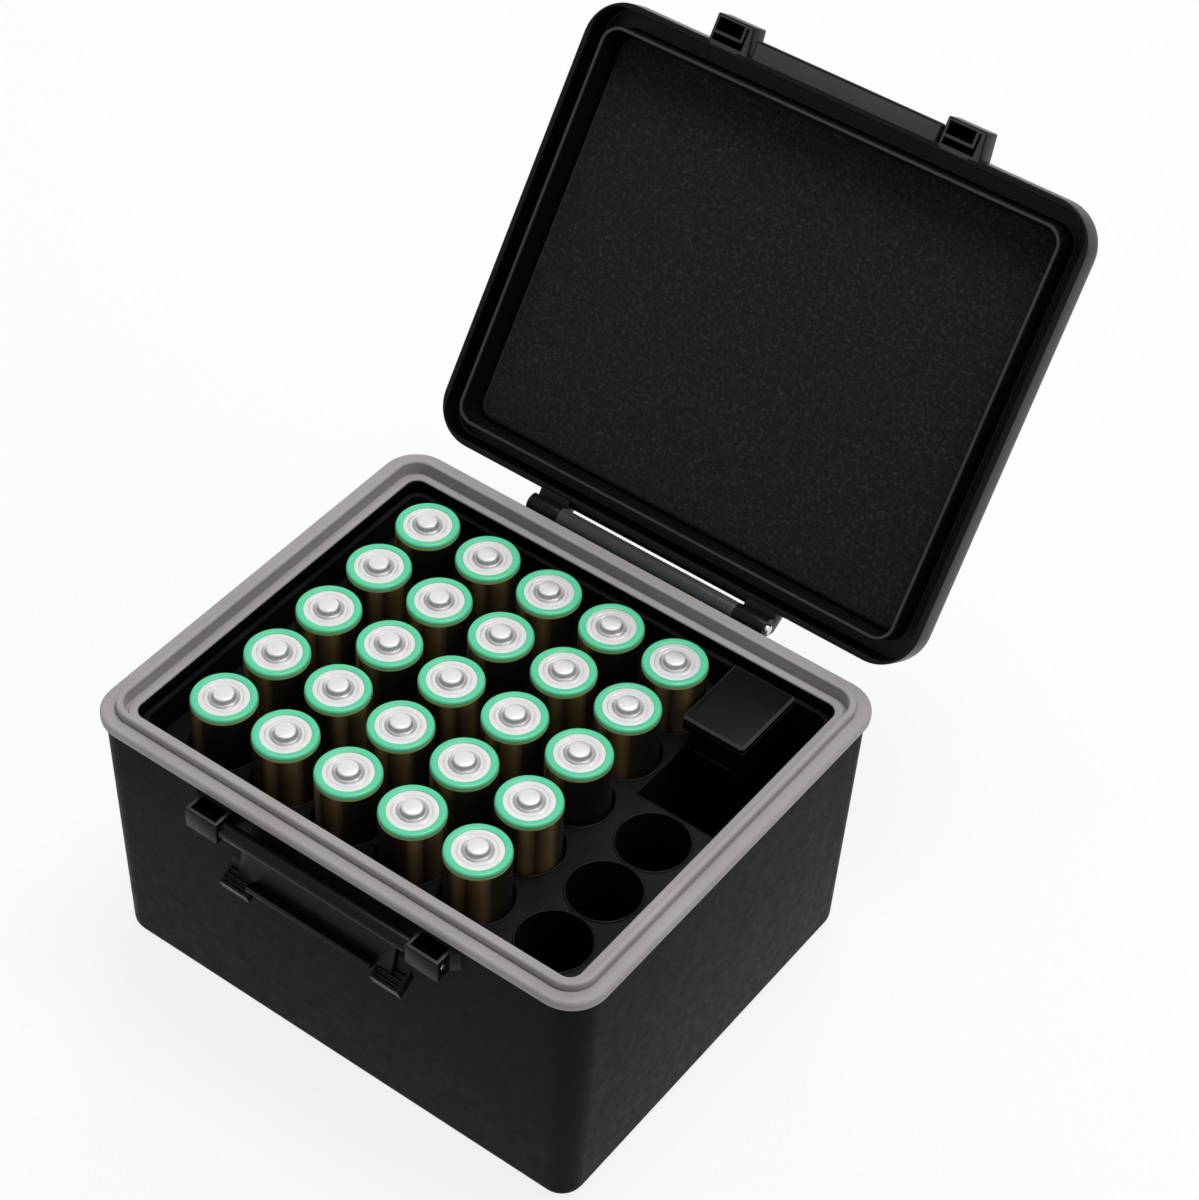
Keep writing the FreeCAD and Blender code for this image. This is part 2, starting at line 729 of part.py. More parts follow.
def make_lid_foam():
    """The foam pad that fills the roof of the lid."""
    body = new_body("lid_foam")
    inset = cavity_inset + size("foam_inset")
    face = lid_inside - size("foam_height")
    outline = new_sketch(body, "FoamOutline", face)
    centred_loop(outline, lid_half_x - inset, lid_half_y - inset, size("lid_corner") - inset)
    block = pad(body, "Foam", outline, size("foam_height"))
    edge = edges_at(block, lambda point: near(point.z, face))
    soften(body, "FoamRound", block, edge, size("foam_round"))
    open_lid(body)
    return body


def make_latch_flap():
    """The flap, drawn closed: a barrel on the pin, a plate with a hook lip, and two tabs."""
    body = new_body("latch_flap")
    inner = flap_inner_y
    outer = inner - size("flap_thickness")
    hook_top = hook_level + size("flap_hook_height")
    hook_back = inner + size("flap_hook_reach")
    tab_start = size("flap_half") - size("tab_width")
    barrel = new_sketch(body, "BarrelOutline", role="YZ_Plane")
    round_loop(barrel, latch_y, latch_level, size("barrel_radius"))
    pad(body, "Barrel", barrel, barrel_half * 2, both=True)
    plate = new_sketch(body, "PlateOutline", role="YZ_Plane")
    straight_loop(plate, ((latch_y, latch_level), (latch_y - size("barrel_radius"), latch_level),
                          (outer, latch_level + size("flap_root_rise")), (outer, hook_top),
                          (inner, hook_top), (inner, latch_level + size("flap_offset") * HALF)))
    pad(body, "Plate", plate, (size("flap_half") - size("plate_inset")) * 2, both=True)
    hook = new_sketch(body, "HookOutline", role="YZ_Plane")
    straight_loop(hook, ((outer, hook_level), (outer, hook_top), (hook_back, hook_top),
                         (hook_back, hook_level)))
    pad(body, "Hook", hook, tab_start * 2, both=True)

    # each tab is a slanted block, and its grip faces the front while the flap hangs
    grip_y = outer + size("grip_reach")
    grip_level = hook_level + size("grip_rise")
    tip_level = grip_level + size("tab_edge_rise")
    for name, start in (("Right", tab_start), ("Left", -size("flap_half"))):
        section = new_sketch(body, name + "TabOutline", start, role="YZ_Plane")
        straight_loop(section, ((outer, hook_level), (grip_y, grip_level),
                                (grip_y - size("tab_edge_reach"), tip_level),
                                (outer - size("tab_depth"), hook_level + size("tab_depth_rise")),
                                (outer, hook_level - size("tab_root"))))
        block = pad(body, name + "Tab", section, size("tab_width"))
    tips = edges_at(block, lambda point: near(point.z, tip_level))
    soften(body, "TabRound", block, tips, size("tab_round"))
    hole = new_sketch(body, "LatchPinHole", role="YZ_Plane")
    round_loop(hole, latch_y, latch_level, size("latch_pin_radius") + size("pin_fit"))
    grow(body, "Pocket", "LatchPinBore", hole, (barrel_half + over) * 2, both=True)
    body.setExpression("Placement", "placement(vector(0; 0; 0); rotation(vector(1; 0; 0); "
                       "Sizes.hang_deg); vector(0; %s; %s))"
                       % (latch_y.formula, latch_level.formula))
    return body


def make_pin(label, radius, half_length, y, z):
    """A steel pin along X."""
    pin = doc.addObject("Part::Cylinder", label)
    pin.Label = label
    bind(pin, "Radius", radius)
    bind(pin, "Height", half_length * 2)
    pin.setExpression("Placement", "placement(vector(%s; %s; %s); rotation(vector(0; 1; 0); 90))"
                      % ((-half_length).formula, y.formula, z.formula))
    return pin


pieces = [make_box_body(), make_rim_gasket(), make_tray_insert()]
for cell_row in range(driving["row_count"]):
    for cell_column in range(full_columns):
        pieces.append(make_cell(cell_row, cell_column))
pieces += make_small_box()
pieces += [make_lid_shell(), make_lid_foam(), make_latch_flap()]
pieces.append(make_pin("hinge_pin", size("hinge_pin_radius"),
                       end_knuckle_outer + size("hinge_pin_proud"), hinge_y, hinge_level))
pieces.append(make_pin("latch_pin", size("latch_pin_radius"),
                       bracket_outer - size("key_fit"), latch_y, latch_level))
doc.recompute()

for item in doc.Objects:
    if "Invalid" in item.State or "Error" in item.State:
        raise RuntimeError("%s failed: %s" % (item.Label, item.State))
for piece in pieces:
    if piece.Shape.isNull() or not piece.Shape.isValid():
        raise RuntimeError("%s has no valid shape" % piece.Label)
for piece in pieces:
    piece.Shape.exportStep("parts/%s.step" % piece.Label)
    print(piece.Label, len(piece.Shape.Solids), round(piece.Shape.Volume, 1))
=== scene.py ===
import json
import math

import bmesh
import bpy
from mathutils import Matrix, Vector


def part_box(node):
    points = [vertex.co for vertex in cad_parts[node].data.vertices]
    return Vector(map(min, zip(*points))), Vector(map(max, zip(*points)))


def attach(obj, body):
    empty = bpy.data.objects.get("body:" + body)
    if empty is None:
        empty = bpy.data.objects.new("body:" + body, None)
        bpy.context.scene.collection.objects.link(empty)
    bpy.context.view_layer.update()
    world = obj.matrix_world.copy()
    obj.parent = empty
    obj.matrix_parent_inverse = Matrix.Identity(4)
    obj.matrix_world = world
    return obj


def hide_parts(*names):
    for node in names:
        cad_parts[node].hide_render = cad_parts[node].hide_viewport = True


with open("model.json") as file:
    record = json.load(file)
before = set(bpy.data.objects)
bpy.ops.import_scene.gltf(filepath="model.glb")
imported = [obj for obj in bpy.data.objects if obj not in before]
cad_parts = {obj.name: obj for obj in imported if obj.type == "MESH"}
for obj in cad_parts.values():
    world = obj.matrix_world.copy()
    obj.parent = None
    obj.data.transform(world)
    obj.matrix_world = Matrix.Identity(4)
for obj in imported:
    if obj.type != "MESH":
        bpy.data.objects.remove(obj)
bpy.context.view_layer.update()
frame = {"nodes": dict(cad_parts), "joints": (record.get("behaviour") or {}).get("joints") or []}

# Named sizes are in millimetres and become metres in the meshes
MM = 0.001


def low(node):
    """The lowest corner of a node's box, in millimetres."""
    return Vector(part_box(node)[0]) / MM


def high(node):
    """The highest corner of a node's box, in millimetres."""
    return Vector(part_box(node)[1]) / MM


def joint(name):
    """The frame's row for a joint."""
    return next(item for item in frame["joints"] if item["name"] == name)


# Places read from the frame
seal_half = Vector((high("rim_gasket").x, high("rim_gasket").y))
tray_half = Vector((high("tray_insert").x, high("tray_insert").y))
hinge = Vector(joint("lid_hinge")["pos_m"]) / MM
latch = Vector(joint("latch_swing")["pos_m"]) / MM
open_angle = math.radians(max(abs(limit) for limit in joint("lid_hinge")["range_deg"]))
hang_angle = math.radians(joint("latch_swing")["range_deg"][1])
columns = 5
rows = 5
empty_wells = 3
cell_low = low("cell_r1c1").z
first_cell = (low("cell_r1c1") + high("cell_r1c1")) / 2
last_cell = (low("cell_r5c5") + high("cell_r5c5")) / 2
pitch = (last_cell.x - first_cell.x) / (columns - 1)

# Levels above and below the case rim
hinge_rise = 1.2
seal_height = 2.3
lip_height = 1.7
ledge_drop = 1.1
deck_drop = 10.0
lid_gap = 0.7
lid_depth = 11.0
lid_wall = 1.5
foam_thickness = 4.0
rim_level = hinge.z - hinge_rise
seal_top = rim_level + seal_height
lip_top = seal_top + lip_height
ledge_level = seal_top - ledge_drop
deck_level = rim_level - deck_drop
lid_rim = seal_top + lid_gap
lid_top = lid_rim + lid_depth
lid_inside = lid_top - lid_wall
foam_face = lid_inside - foam_thickness

# Outlines seen from above
seal_overhang = 1.13
lid_setback = 0.85
case_top_half = seal_half - Vector((seal_overhang, seal_overhang))
case_corner = 7.57
seal_corner = 8.7
lid_half = seal_half - Vector((lid_setback, lid_setback))
lid_corner = 10.0
well_radius = 8.1


def smooth(piece, sharp_angle=32.0):
    """Smooth faces, with the edges past an angle kept sharp."""
    mesh = piece.data
    work = bmesh.new()
    work.from_mesh(mesh)
    bmesh.ops.recalc_face_normals(work, faces=work.faces)
    limit = math.radians(sharp_angle)
    for edge in work.edges:
        edge.smooth = not (edge.is_manifold and edge.calc_face_angle(0.0) > limit)
    for face in work.faces:
        face.smooth = True
    work.to_mesh(mesh)
    work.free()
    return piece


def piece_from(name, points, faces):
    """A mesh object from points in millimetres."""
    mesh = bpy.data.meshes.new(name)
    mesh.from_pydata([Vector(point) * MM for point in points], [], faces)
    mesh.update()
    piece = bpy.data.objects.new(name, mesh)
    bpy.context.scene.collection.objects.link(piece)
    return piece


def apply_modifiers(piece):
    """Makes the piece's modifiers part of its mesh."""
    graph = bpy.context.evaluated_depsgraph_get()
    graph.update()
    mesh = bpy.data.meshes.new_from_object(piece.evaluated_get(graph))
    piece.modifiers.clear()
    piece.data = mesh
    return piece


def soften(piece, width, segments=2, angle=30.0):
    """Rounds the sharp edges of a piece."""
    bevel = piece.modifiers.new("Softened", "BEVEL")
    bevel.width = width * MM
    bevel.segments = segments
    bevel.limit_method = "ANGLE"
    bevel.angle_limit = math.radians(angle)
    apply_modifiers(piece)
    return smooth(piece)


def carve(piece, *cutters):
    """Cuts closed cutters, which reach past its surface, out of a piece and removes them."""
    for cutter in cutters:
        cut = piece.modifiers.new("Cut", "BOOLEAN")
        cut.object = cutter
        cut.solver = "EXACT"
        cut.operation = "DIFFERENCE"
        apply_modifiers(piece)
        bpy.data.objects.remove(cutter)
    return piece


def merge(piece, *others):
    """Joins closed pieces into one skin and removes them."""
    for other in others:
        union = piece.modifiers.new("Union", "BOOLEAN")
        union.object = other
        union.solver = "EXACT"
        union.operation = "UNION"
        apply_modifiers(piece)
        bpy.data.objects.remove(other)
    return piece


def turned(piece, centre, angle):
    """Turns a piece's mesh about an X axis through a centre in millimetres."""
    middle = Matrix.Translation(centre * MM)
    piece.data.transform(middle @ Matrix.Rotation(angle, 4, "X") @ middle.inverted())
    return piece


def prism(name, outline, start, end, along="X"):
    """A closed prism. The outline is (y, z) along X, or (x, y) along Z."""
    count = len(outline)
    if along == "X":
        points = [(level, a, b) for level in (start, end) for a, b in outline]
    else:
        points = [(a, b, level) for level in (start, end) for a, b in outline]
    faces = [tuple(range(count)), tuple(range(2 * count - 1, count - 1, -1))]
    for i in range(count):
        j = (i + 1) % count
        faces.append((i, i + count, j + count, j))
    return smooth(piece_from(name, points, faces))


def block(name, x, y, z):
    """A box from three pairs of limits."""
    x, y, z = sorted(x), sorted(y), sorted(z)
    outline = ((x[0], y[0]), (x[1], y[0]), (x[1], y[1]), (x[0], y[1]))
    return prism(name, outline, z[0], z[1], along="Z")


def disc_outline(y, z, radius, steps=40):
    """Points of a circle, for a prism along X."""
    turn = 2 * math.pi / steps
    return [(y + radius * math.cos(i * turn), z + radius * math.sin(i * turn))
            for i in range(steps)]


def rounded_rectangle(half_x, half_y, corner, corner_steps=12):
    """Points of a rectangle with round corners, counter-clockwise."""
    centres = ((half_x - corner, half_y - corner), (corner - half_x, half_y - corner),
               (corner - half_x, corner - half_y), (half_x - corner, corner - half_y))
    points = []
    for turn, (x, y) in enumerate(centres):
        for step in range(corner_steps + 1):
            angle = (turn + step / corner_steps) * math.pi / 2
            points.append((x + corner * math.cos(angle), y + corner * math.sin(angle)))
    return points


def rounded_profile(corners, steps=4):
    """Replaces each (inset, level, radius) corner by an arc of that radius."""
    result = []
    for i, (inset, level, radius) in enumerate(corners):
        here = Vector((inset, level))
        if radius == 0:
            result.append(here)
            continue
        before = (Vector(corners[i - 1][:2]) - here).normalized()
        after = (Vector(corners[(i + 1) % len(corners)][:2]) - here).normalized()
        half = before.angle(after) / 2
        reach = radius / math.tan(half)
        middle = here + (before + after).normalized() * (radius / math.sin(half))
        first = here + before * reach - middle
        last = here + after * reach - middle
        for step in range(steps + 1):
            result.append(middle + first.lerp(last, step / steps).normalized() * radius)
    return result


def swept_rim(name, half, corner_at, profile, closed):
    """Sweeps an (inset, level) profile round a rectangle with round corners."""
    loops = []
    for place, (inset, level) in enumerate(profile):
        outline = rounded_rectangle(half.x - inset, half.y - inset, corner_at(inset, place))
        loops.append([(x, y, level) for x, y in outline])
    size = len(loops[0])
    points = [point for loop in loops for point in loop]
    faces = []
    for row in range(len(loops) if closed else len(loops) - 1):
        following = (row + 1) % len(loops)
        for i in range(size):
            j = (i + 1) % size
            faces.append((row * size + i, row * size + j,
                          following * size + j, following * size + i))
    if not closed:
        last = (len(loops) - 1) * size
        faces.append(tuple(range(size)))
        faces.append(tuple(range(last + size - 1, last - 1, -1)))
    return smooth(piece_from(name, points, faces))


def lathe(name, profile, centre, steps=56, start_share=0.0):
    """Turns a (radius, level) profile about an upright axis, with a wrap-round UV map."""
    points = []
    for radius, level in profile:
        for step in range(steps):
            angle = 2 * math.pi * (step / steps + start_share)
            points.append((centre.x + radius * math.cos(angle),
                           centre.y + radius * math.sin(angle), level))
    faces = []
    for row in range(len(profile) - 1):
        for step in range(steps):
            after = (step + 1) % steps
            faces.append((row * steps + step, row * steps + after,
                          (row + 1) * steps + after, (row + 1) * steps + step))
    last = (len(profile) - 1) * steps
    faces.append(tuple(range(steps)))
    faces.append(tuple(range(last + steps - 1, last - 1, -1)))
    piece = piece_from(name, points, faces)
    layer = piece.data.uv_layers.new(name="wrap")
    levels = [level for radius, level in profile]
    for face in piece.data.polygons:
        over_seam = len(face.vertices) == 4 and {v % steps for v in face.vertices} == {0, steps - 1}
        for loop, vertex in zip(face.loop_indices, face.vertices):
            share = (vertex % steps) / steps
            if over_seam and share == 0.0:
                share = 1.0
            layer.data[loop].uv = (share, levels[vertex // steps] - levels[0])
    return smooth(piece)


class Pattern:
    """A geometry tree with named inputs, for what repeats."""

    def __init__(self, name, material, **sizes):
        self.name = name
        self.material = material
        self.sizes = sizes
        self.tree = bpy.data.node_groups.new(name, "GeometryNodeTree")
        self.tree.interface.new_socket("Geometry", in_out="OUTPUT",
                                       socket_type="NodeSocketGeometry")
        self.inputs = {}
        for label, value in sizes.items():
            kind = "NodeSocketInt" if isinstance(value, int) else "NodeSocketFloat"
            item = self.tree.interface.new_socket(label, in_out="INPUT", socket_type=kind)
            self.inputs[label] = item.identifier
        self.entry = self.tree.nodes.new("NodeGroupInput")

    def add(self, kind, **sources):
        """A node whose inputs take a named size, a socket or a plain value."""
        node = self.tree.nodes.new(kind)
        for label, source in sources.items():
            socket = node.inputs[label.replace("_", " ")]
            if isinstance(source, str):
                self.tree.links.new(self.entry.outputs[source], socket)
            elif isinstance(source, bpy.types.NodeSocket):
                self.tree.links.new(source, socket)
            else:
                socket.default_value = source
        return node

    def grow(self, points, instance, turn=(0.0, 0.0, 0.0)):
        """Puts the instance on the points and gives the result as a plain mesh piece."""
        placed = self.add("GeometryNodeInstanceOnPoints", Points=points, Instance=instance,
                          Rotation=turn)
        real = self.add("GeometryNodeRealizeInstances", Geometry=placed.outputs["Instances"])
        dressed = self.add("GeometryNodeSetMaterial", Geometry=real.outputs["Geometry"],
                           Material=self.material)
        result = self.tree.nodes.new("NodeGroupOutput")
        self.tree.links.new(dressed.outputs["Geometry"], result.inputs["Geometry"])
        piece = piece_from(self.name, [], [])
        modifier = piece.modifiers.new("Pattern", "NODES")
        modifier.node_group = self.tree
        for label, value in self.sizes.items():
            modifier[self.inputs[label]] = value if isinstance(value, int) else value * MM
        return apply_modifiers(piece)


class Finish:
    """A small helper that builds one procedural material."""

    def __init__(self, name, **sockets):
        self.material = bpy.data.materials.new(name)
        self.material.use_nodes = True
        self.nodes = self.material.node_tree.nodes
        self.links = self.material.node_tree.links
        self.shader = self.nodes["Principled BSDF"]
        self.place = self.add("ShaderNodeTexCoord").outputs["Object"]
        for label, value in sockets.items():
            self.shader.inputs[label.replace("_", " ")].default_value = value

    def add(self, kind, **settings):
        node = self.nodes.new(kind)
        for label, value in settings.items():
            setattr(node, label, value)
        return node

    def noise(self, scale, detail=3.0, roughness=0.5):
        node = self.add("ShaderNodeTexNoise")
        node.inputs["Scale"].default_value = scale
        node.inputs["Detail"].default_value = detail
        node.inputs["Roughness"].default_value = roughness
        self.links.new(self.place, node.inputs["Vector"])
        return node.outputs["Fac"]

    def ramp(self, source, *stops):
        """A colour ramp from (place, colour) stops."""
        node = self.add("ShaderNodeValToRGB")
        elements = node.color_ramp.elements
        while len(elements) < len(stops):
            elements.new(0.5)
        for element, (place, colour) in zip(elements, stops):
            element.position = place
            element.color = (*colour, 1.0)
        self.links.new(source, node.inputs["Fac"])
        return node.outputs["Color"]

    def level(self, source, from_low, from_high, to_low, to_high):
        node = self.add("ShaderNodeMapRange")
        for label, value in (("From Min", from_low), ("From Max", from_high),
                             ("To Min", to_low), ("To Max", to_high)):
            node.inputs[label].default_value = value
        self.links.new(source, node.inputs["Value"])
        return node.outputs["Result"]

    def mixed(self, share, first, second):
        """A mix of two colours, through the colour sockets of the node."""
        node = self.add("ShaderNodeMix", data_type="RGBA")
        self.links.new(share, node.inputs[0])
        self.links.new(first, node.inputs[6])
        self.links.new(second, node.inputs[7])
        return node.outputs[2]

    def bump(self, height, strength, distance):
        node = self.add("ShaderNodeBump")
        node.inputs["Strength"].default_value = strength
        node.inputs["Distance"].default_value = distance * MM
        self.links.new(height, node.inputs["Height"])
        self.links.new(node.outputs["Normal"], self.shader.inputs["Normal"])

    def colour(self, source):
        self.links.new(source, self.shader.inputs["Base Color"])

    def roughness(self, low_value, high_value, scale=400.0):
        self.links.new(self.level(self.noise(scale), 0.3, 0.7, low_value, high_value),
                       self.shader.inputs["Roughness"])


def cloudy(finish, dark, pale, scale):
    """A soft cloud between two near colours."""
    finish.colour(finish.ramp(finish.noise(scale, detail=2.0), (0.35, dark), (0.65, pale)))


def case_plastic():
    """Black moulded plastic with a fine spark-eroded texture."""
    finish = Finish("case_plastic", Specular_IOR_Level=0.025)
    cloudy(finish, (0.0082, 0.0087, 0.0094), (0.0092, 0.0098, 0.0106), 18.0)
    finish.roughness(0.40, 0.52)
    finish.bump(finish.noise(2600.0, detail=2.0), 0.35, 0.03)
    return finish.material


def rim_plastic():
    """The same black plastic, smoother, on the lid, the brackets and the flap."""
    finish = Finish("rim_plastic", Specular_IOR_Level=0.10)
    cloudy(finish, (0.0034, 0.0038, 0.0044), (0.0042, 0.0047, 0.0054), 40.0)
    finish.roughness(0.27, 0.36, scale=900.0)
    finish.bump(finish.noise(3000.0, detail=2.0), 0.2, 0.02)
    return finish.material


def tray_plastic():
    """Matt black tray with a faint cloudy sheen on its deck."""
    finish = Finish("tray_plastic", Specular_IOR_Level=0.08)
    cloudy(finish, (0.0050, 0.0052, 0.0056), (0.0100, 0.0104, 0.0110), 45.0)
    finish.roughness(0.30, 0.44, scale=300.0)
    finish.bump(finish.noise(2200.0, detail=2.0), 0.3, 0.03)
    return finish.material


def seal_rubber():
    """Warm grey silicone with a soft bloom."""
    finish = Finish("seal_rubber", Sheen_Weight=0.1, Sheen_Roughness=0.5,
                    Specular_IOR_Level=0.35)
    cloudy(finish, (0.330, 0.307, 0.307), (0.372, 0.350, 0.352), 50.0)
    finish.roughness(0.50, 0.62)
    finish.bump(finish.noise(1800.0, detail=2.0), 0.15, 0.03)
    return finish.material


def lid_foam_finish():
    """Dark open-cell foam: fine pale specks on black."""
    finish = Finish("lid_foam", Roughness=0.95, Specular_IOR_Level=0.15, Sheen_Weight=0.08,
                    Sheen_Roughness=0.6)
    speck = finish.noise(1150.0, detail=4.0, roughness=0.75)
    finish.colour(finish.ramp(speck, (0.38, (0.0030, 0.0031, 0.0034)),
                              (0.53, (0.0072, 0.0075, 0.0081)),
                              (0.70, (0.0360, 0.0365, 0.0380))))
    finish.bump(finish.noise(900.0, detail=3.0, roughness=0.7), 0.9, 0.28)
    return finish.material


cell_can_height = 49.3
cell_button_height = 2.1
sleeve_fold = 0.9
sleeve_line = 0.55


def cell_sleeve_finish():
    """The shrink sleeve: mint fold at the top, a pale line, charcoal with bronze streaks."""
    finish = Finish("cell_sleeve")
    split = finish.add("ShaderNodeSeparateXYZ")
    wrap = finish.add("ShaderNodeUVMap", uv_map="wrap")
    finish.links.new(wrap.outputs["UV"], split.inputs["Vector"])
    charcoal = (0.022, 0.020, 0.018)
    umber = (0.060, 0.044, 0.026)
    bronze = (0.420, 0.290, 0.130)
    streaks = finish.ramp(split.outputs["X"], (0.00, charcoal), (0.10, umber), (0.14, bronze),
                          (0.20, umber), (0.30, charcoal), (0.46, charcoal), (0.55, umber),
                          (0.585, bronze), (0.605, bronze), (0.64, umber), (0.72, bronze),
                          (0.76, umber), (0.85, charcoal), (1.00, charcoal))
    pale = (0.560, 0.640, 0.230)
    mint = (0.095, 0.630, 0.345)
    share = finish.level(split.outputs["Y"], cell_can_height - 2.0, cell_can_height, 0.0, 1.0)
    bands = finish.ramp(share, (0.40, pale), (0.55, pale), (0.60, mint), (1.00, mint))
    top = finish.level(split.outputs["Y"], cell_can_height - sleeve_fold - sleeve_line - 0.05,
                       cell_can_height - sleeve_fold - sleeve_line, 0.0, 1.0)
    finish.colour(finish.mixed(top, streaks, bands))
    finish.links.new(finish.level(top, 0.0, 1.0, 0.55, 0.0), finish.shader.inputs["Metallic"])
    finish.roughness(0.30, 0.42)
    finish.bump(finish.noise(250.0), 0.08, 0.05)
    return finish.material


def drawn_wire():
    """The pins' bright steel with fine drawing marks."""
    finish = Finish("pin_steel", Metallic=1.0)
    dull = (0.6696, 0.6696, 0.6882)
    bright = (0.72, 0.72, 0.74)
    finish.colour(finish.ramp(finish.noise(700.0), (0.3, dull), (0.7, bright)))
    finish.roughness(0.22, 0.35, scale=300.0)
    finish.bump(finish.noise(2000.0), 0.05, 0.02)
    return finish.material


def cell_top_steel():
    """The cell's steel top: pale disc and button top, with grey painted shade in the grooves and on
    the button's sides.
    """
    finish = Finish("cell_steel", Metallic=0.55, Specular_IOR_Level=0.3)
    split = finish.add("ShaderNodeSeparateXYZ")
    wrap = finish.add("ShaderNodeUVMap", uv_map="wrap")
    finish.links.new(wrap.outputs["UV"], split.inputs["Vector"])
    pale = (0.740, 0.725, 0.725)
    grey = (0.300, 0.295, 0.290)
    share = finish.level(split.outputs["Y"], 0.0, cell_button_height, 0.0, 1.0)
    # The grey stops are painted shade in the grooves and on the button's sides
    finish.colour(finish.ramp(share, (0.14, grey), (0.30, pale), (0.36, pale), (0.42, grey),
                              (0.80, grey), (0.94, pale)))
    finish.roughness(0.28, 0.36, scale=300.0)
    finish.bump(finish.noise(2000.0), 0.05, 0.02)
    return finish.material


def painted_shade_plastic():
    """A near-black plastic, painted shade for the faces deep inside a bracket."""
    finish = Finish("painted_shade_plastic", Specular_IOR_Level=0.02, Roughness=0.8)
    cloudy(finish, (0.0008, 0.0008, 0.0009), (0.0012, 0.0012, 0.0013), 60.0)
    return finish.material


def painted_sheen_plastic():
    """A lighter black, a painted sheen for the flat faces and edges of the black plastic that face
    the light.
    """
    finish = Finish("painted_sheen_plastic", Specular_IOR_Level=0.12)
    cloudy(finish, (0.040, 0.042, 0.045), (0.052, 0.055, 0.058), 40.0)
    finish.roughness(0.30, 0.40, scale=900.0)
    finish.bump(finish.noise(3000.0, detail=2.0), 0.2, 0.02)
    return finish.material


case_black = case_plastic()
rim_black = rim_plastic()
painted_shade_black = painted_shade_plastic()
painted_sheen_black = painted_sheen_plastic()
tray_black = tray_plastic()
seal_grey = seal_rubber()
foam_black = lid_foam_finish()
sleeve_print = cell_sleeve_finish()
cell_steel = cell_top_steel()
pin_steel = drawn_wire()


def dress(piece, material, body, slot, *nodes):
    """Gives a finished piece its material and body, and hides the nodes it stands for. The slot
    argument is not used.
    """
    piece.data.materials.clear()
    piece.data.materials.append(material)
    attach(piece, body)
    if nodes:
        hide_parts(*nodes)
    return piece


near_enough = 0.02
level_slack = 0.05


def paint_shade_inside(piece, *spaces):
    """Gives the faces inside each space, three pairs of limits, the near-black painted shade."""
    piece.data.materials.append(painted_shade_black)
    for face in piece.data.polygons:
        for space in spaces:
            if all(min(pair) - near_enough < place / MM < max(pair) + near_enough
                   for pair, place in zip(space, face.center)):
                face.material_index = len(piece.data.materials) - 1


def paint_sheen_faces(piece, low_share, high_share, level=None):
    """Gives the lighter black, a painted sheen, to faces by their normal's upward share, at one
    level or at all.
    """
    piece.data.materials.append(painted_sheen_black)
    for face in piece.data.polygons:
        near = level is None or abs(face.center.z / MM - level) < level_slack
        if near and low_share <= face.normal.z <= high_share:
            face.material_index = len(piece.data.materials) - 1


case_draft_inset = 2.11
case_wall = 3.0
foot_round = 3.0
foot_recess = 0.6
shoulder_inset = 5.3
shoulder_depth = 9.0
shoulder_slope = 2.4
shoulder_draft = 0.3
foot_width = 8.4
foot_slope = 0.6
sole_inset = 12.0
inside_inset = 14.0
middle_inset = 30.0


def make_case():
    """The deep drafted box with rounded foot, recessed underside and thick rim."""
    foot = case_draft_inset
    shoulder = rim_level - shoulder_depth
    corners = ((foot + sole_inset, foot_recess, 0.0),
               (foot + foot_width + foot_slope, foot_recess, 0.5),
               (foot + foot_width, 0.0, 0.5), (foot, 0.0, foot_round),
               (0.0, rim_level, 0.4), (shoulder_inset, rim_level, 0.4),
               (shoulder_inset, shoulder, 0.5),
               (case_wall + shoulder_draft, shoulder - shoulder_slope, 0.5),
               (foot + case_wall, case_wall, 1.5),
               (foot + inside_inset, case_wall, 0.0))
    shell = swept_rim("case_shell", case_top_half,
                      lambda inset, place: max(case_corner - inset, 0.4),
                      rounded_profile(corners, steps=5), closed=False)
    dress(shell, case_black, "case", "case_plastic", "box_body")


lip_inset = 3.2
lip_width = 1.5
valley_width = 0.8
valley_depth = 0.75
mouth_inset = 7.3
skirt_wall = 0.8
skirt_level = rim_level - 1.1
lip_step = 0.3
seal_lift = 0.05
seal_corner_share = 0.8
mouth_shade_drop = 0.55
mouth_slack = 0.3


def make_seal():
    """The seal: round-edged flange, raised lip, a valley, the inner rim and a skirt."""
    lip_foot = lip_inset + lip_width
    valley = ledge_level - valley_depth
    base = rim_level + seal_lift
    step_inset = lip_inset - lip_step
    step_level = seal_top - lip_step
    corners = ((0.0, base, 0.35), (0.0, seal_top, 0.75), (step_inset, seal_top, 0.1),
               (step_inset, step_level, 0.08), (lip_inset, step_level, 0.08),
               (lip_inset, lip_top, 0.5), (lip_foot, lip_top, 0.5), (lip_foot, valley, 0.2),
               (lip_foot + valley_width, valley, 0.2),
               (lip_foot + valley_width, ledge_level, 0.25), (mouth_inset, ledge_level, 0.4),
               (mouth_inset, skirt_level, 0.2), (mouth_inset - skirt_wall, skirt_level, 0.2),
               (mouth_inset - skirt_wall, base, 0.2))
    seal = swept_rim("rim_seal", seal_half,
                     lambda inset, place: seal_corner - inset * seal_corner_share,
                     rounded_profile(corners, steps=4), closed=True)
    dress(seal, seal_grey, "case", "seal_rubber", "rim_gasket")
    # The seal's own wall down the mouth, under the inner rim, takes the black plastic as painted
    # shade
    seal.data.materials.append(rim_black)
    mouth_shade_top = (ledge_level - mouth_shade_drop) * MM
    slack = Vector((mouth_slack, mouth_slack))
    reach = (seal_half - Vector((mouth_inset, mouth_inset)) + slack) * MM
    for face in seal.data.polygons:
        inside = abs(face.center.x) < reach.x and abs(face.center.y) < reach.y
        if face.center.z < mouth_shade_top and inside:
            face.material_index = 1


lid_band = 1.5
tongue_inset = 5.4
tongue_wall = 1.0
tongue_drop = 1.5
channel_depth = 6.0
crown_round = 5.5
crown_foot = 0.6


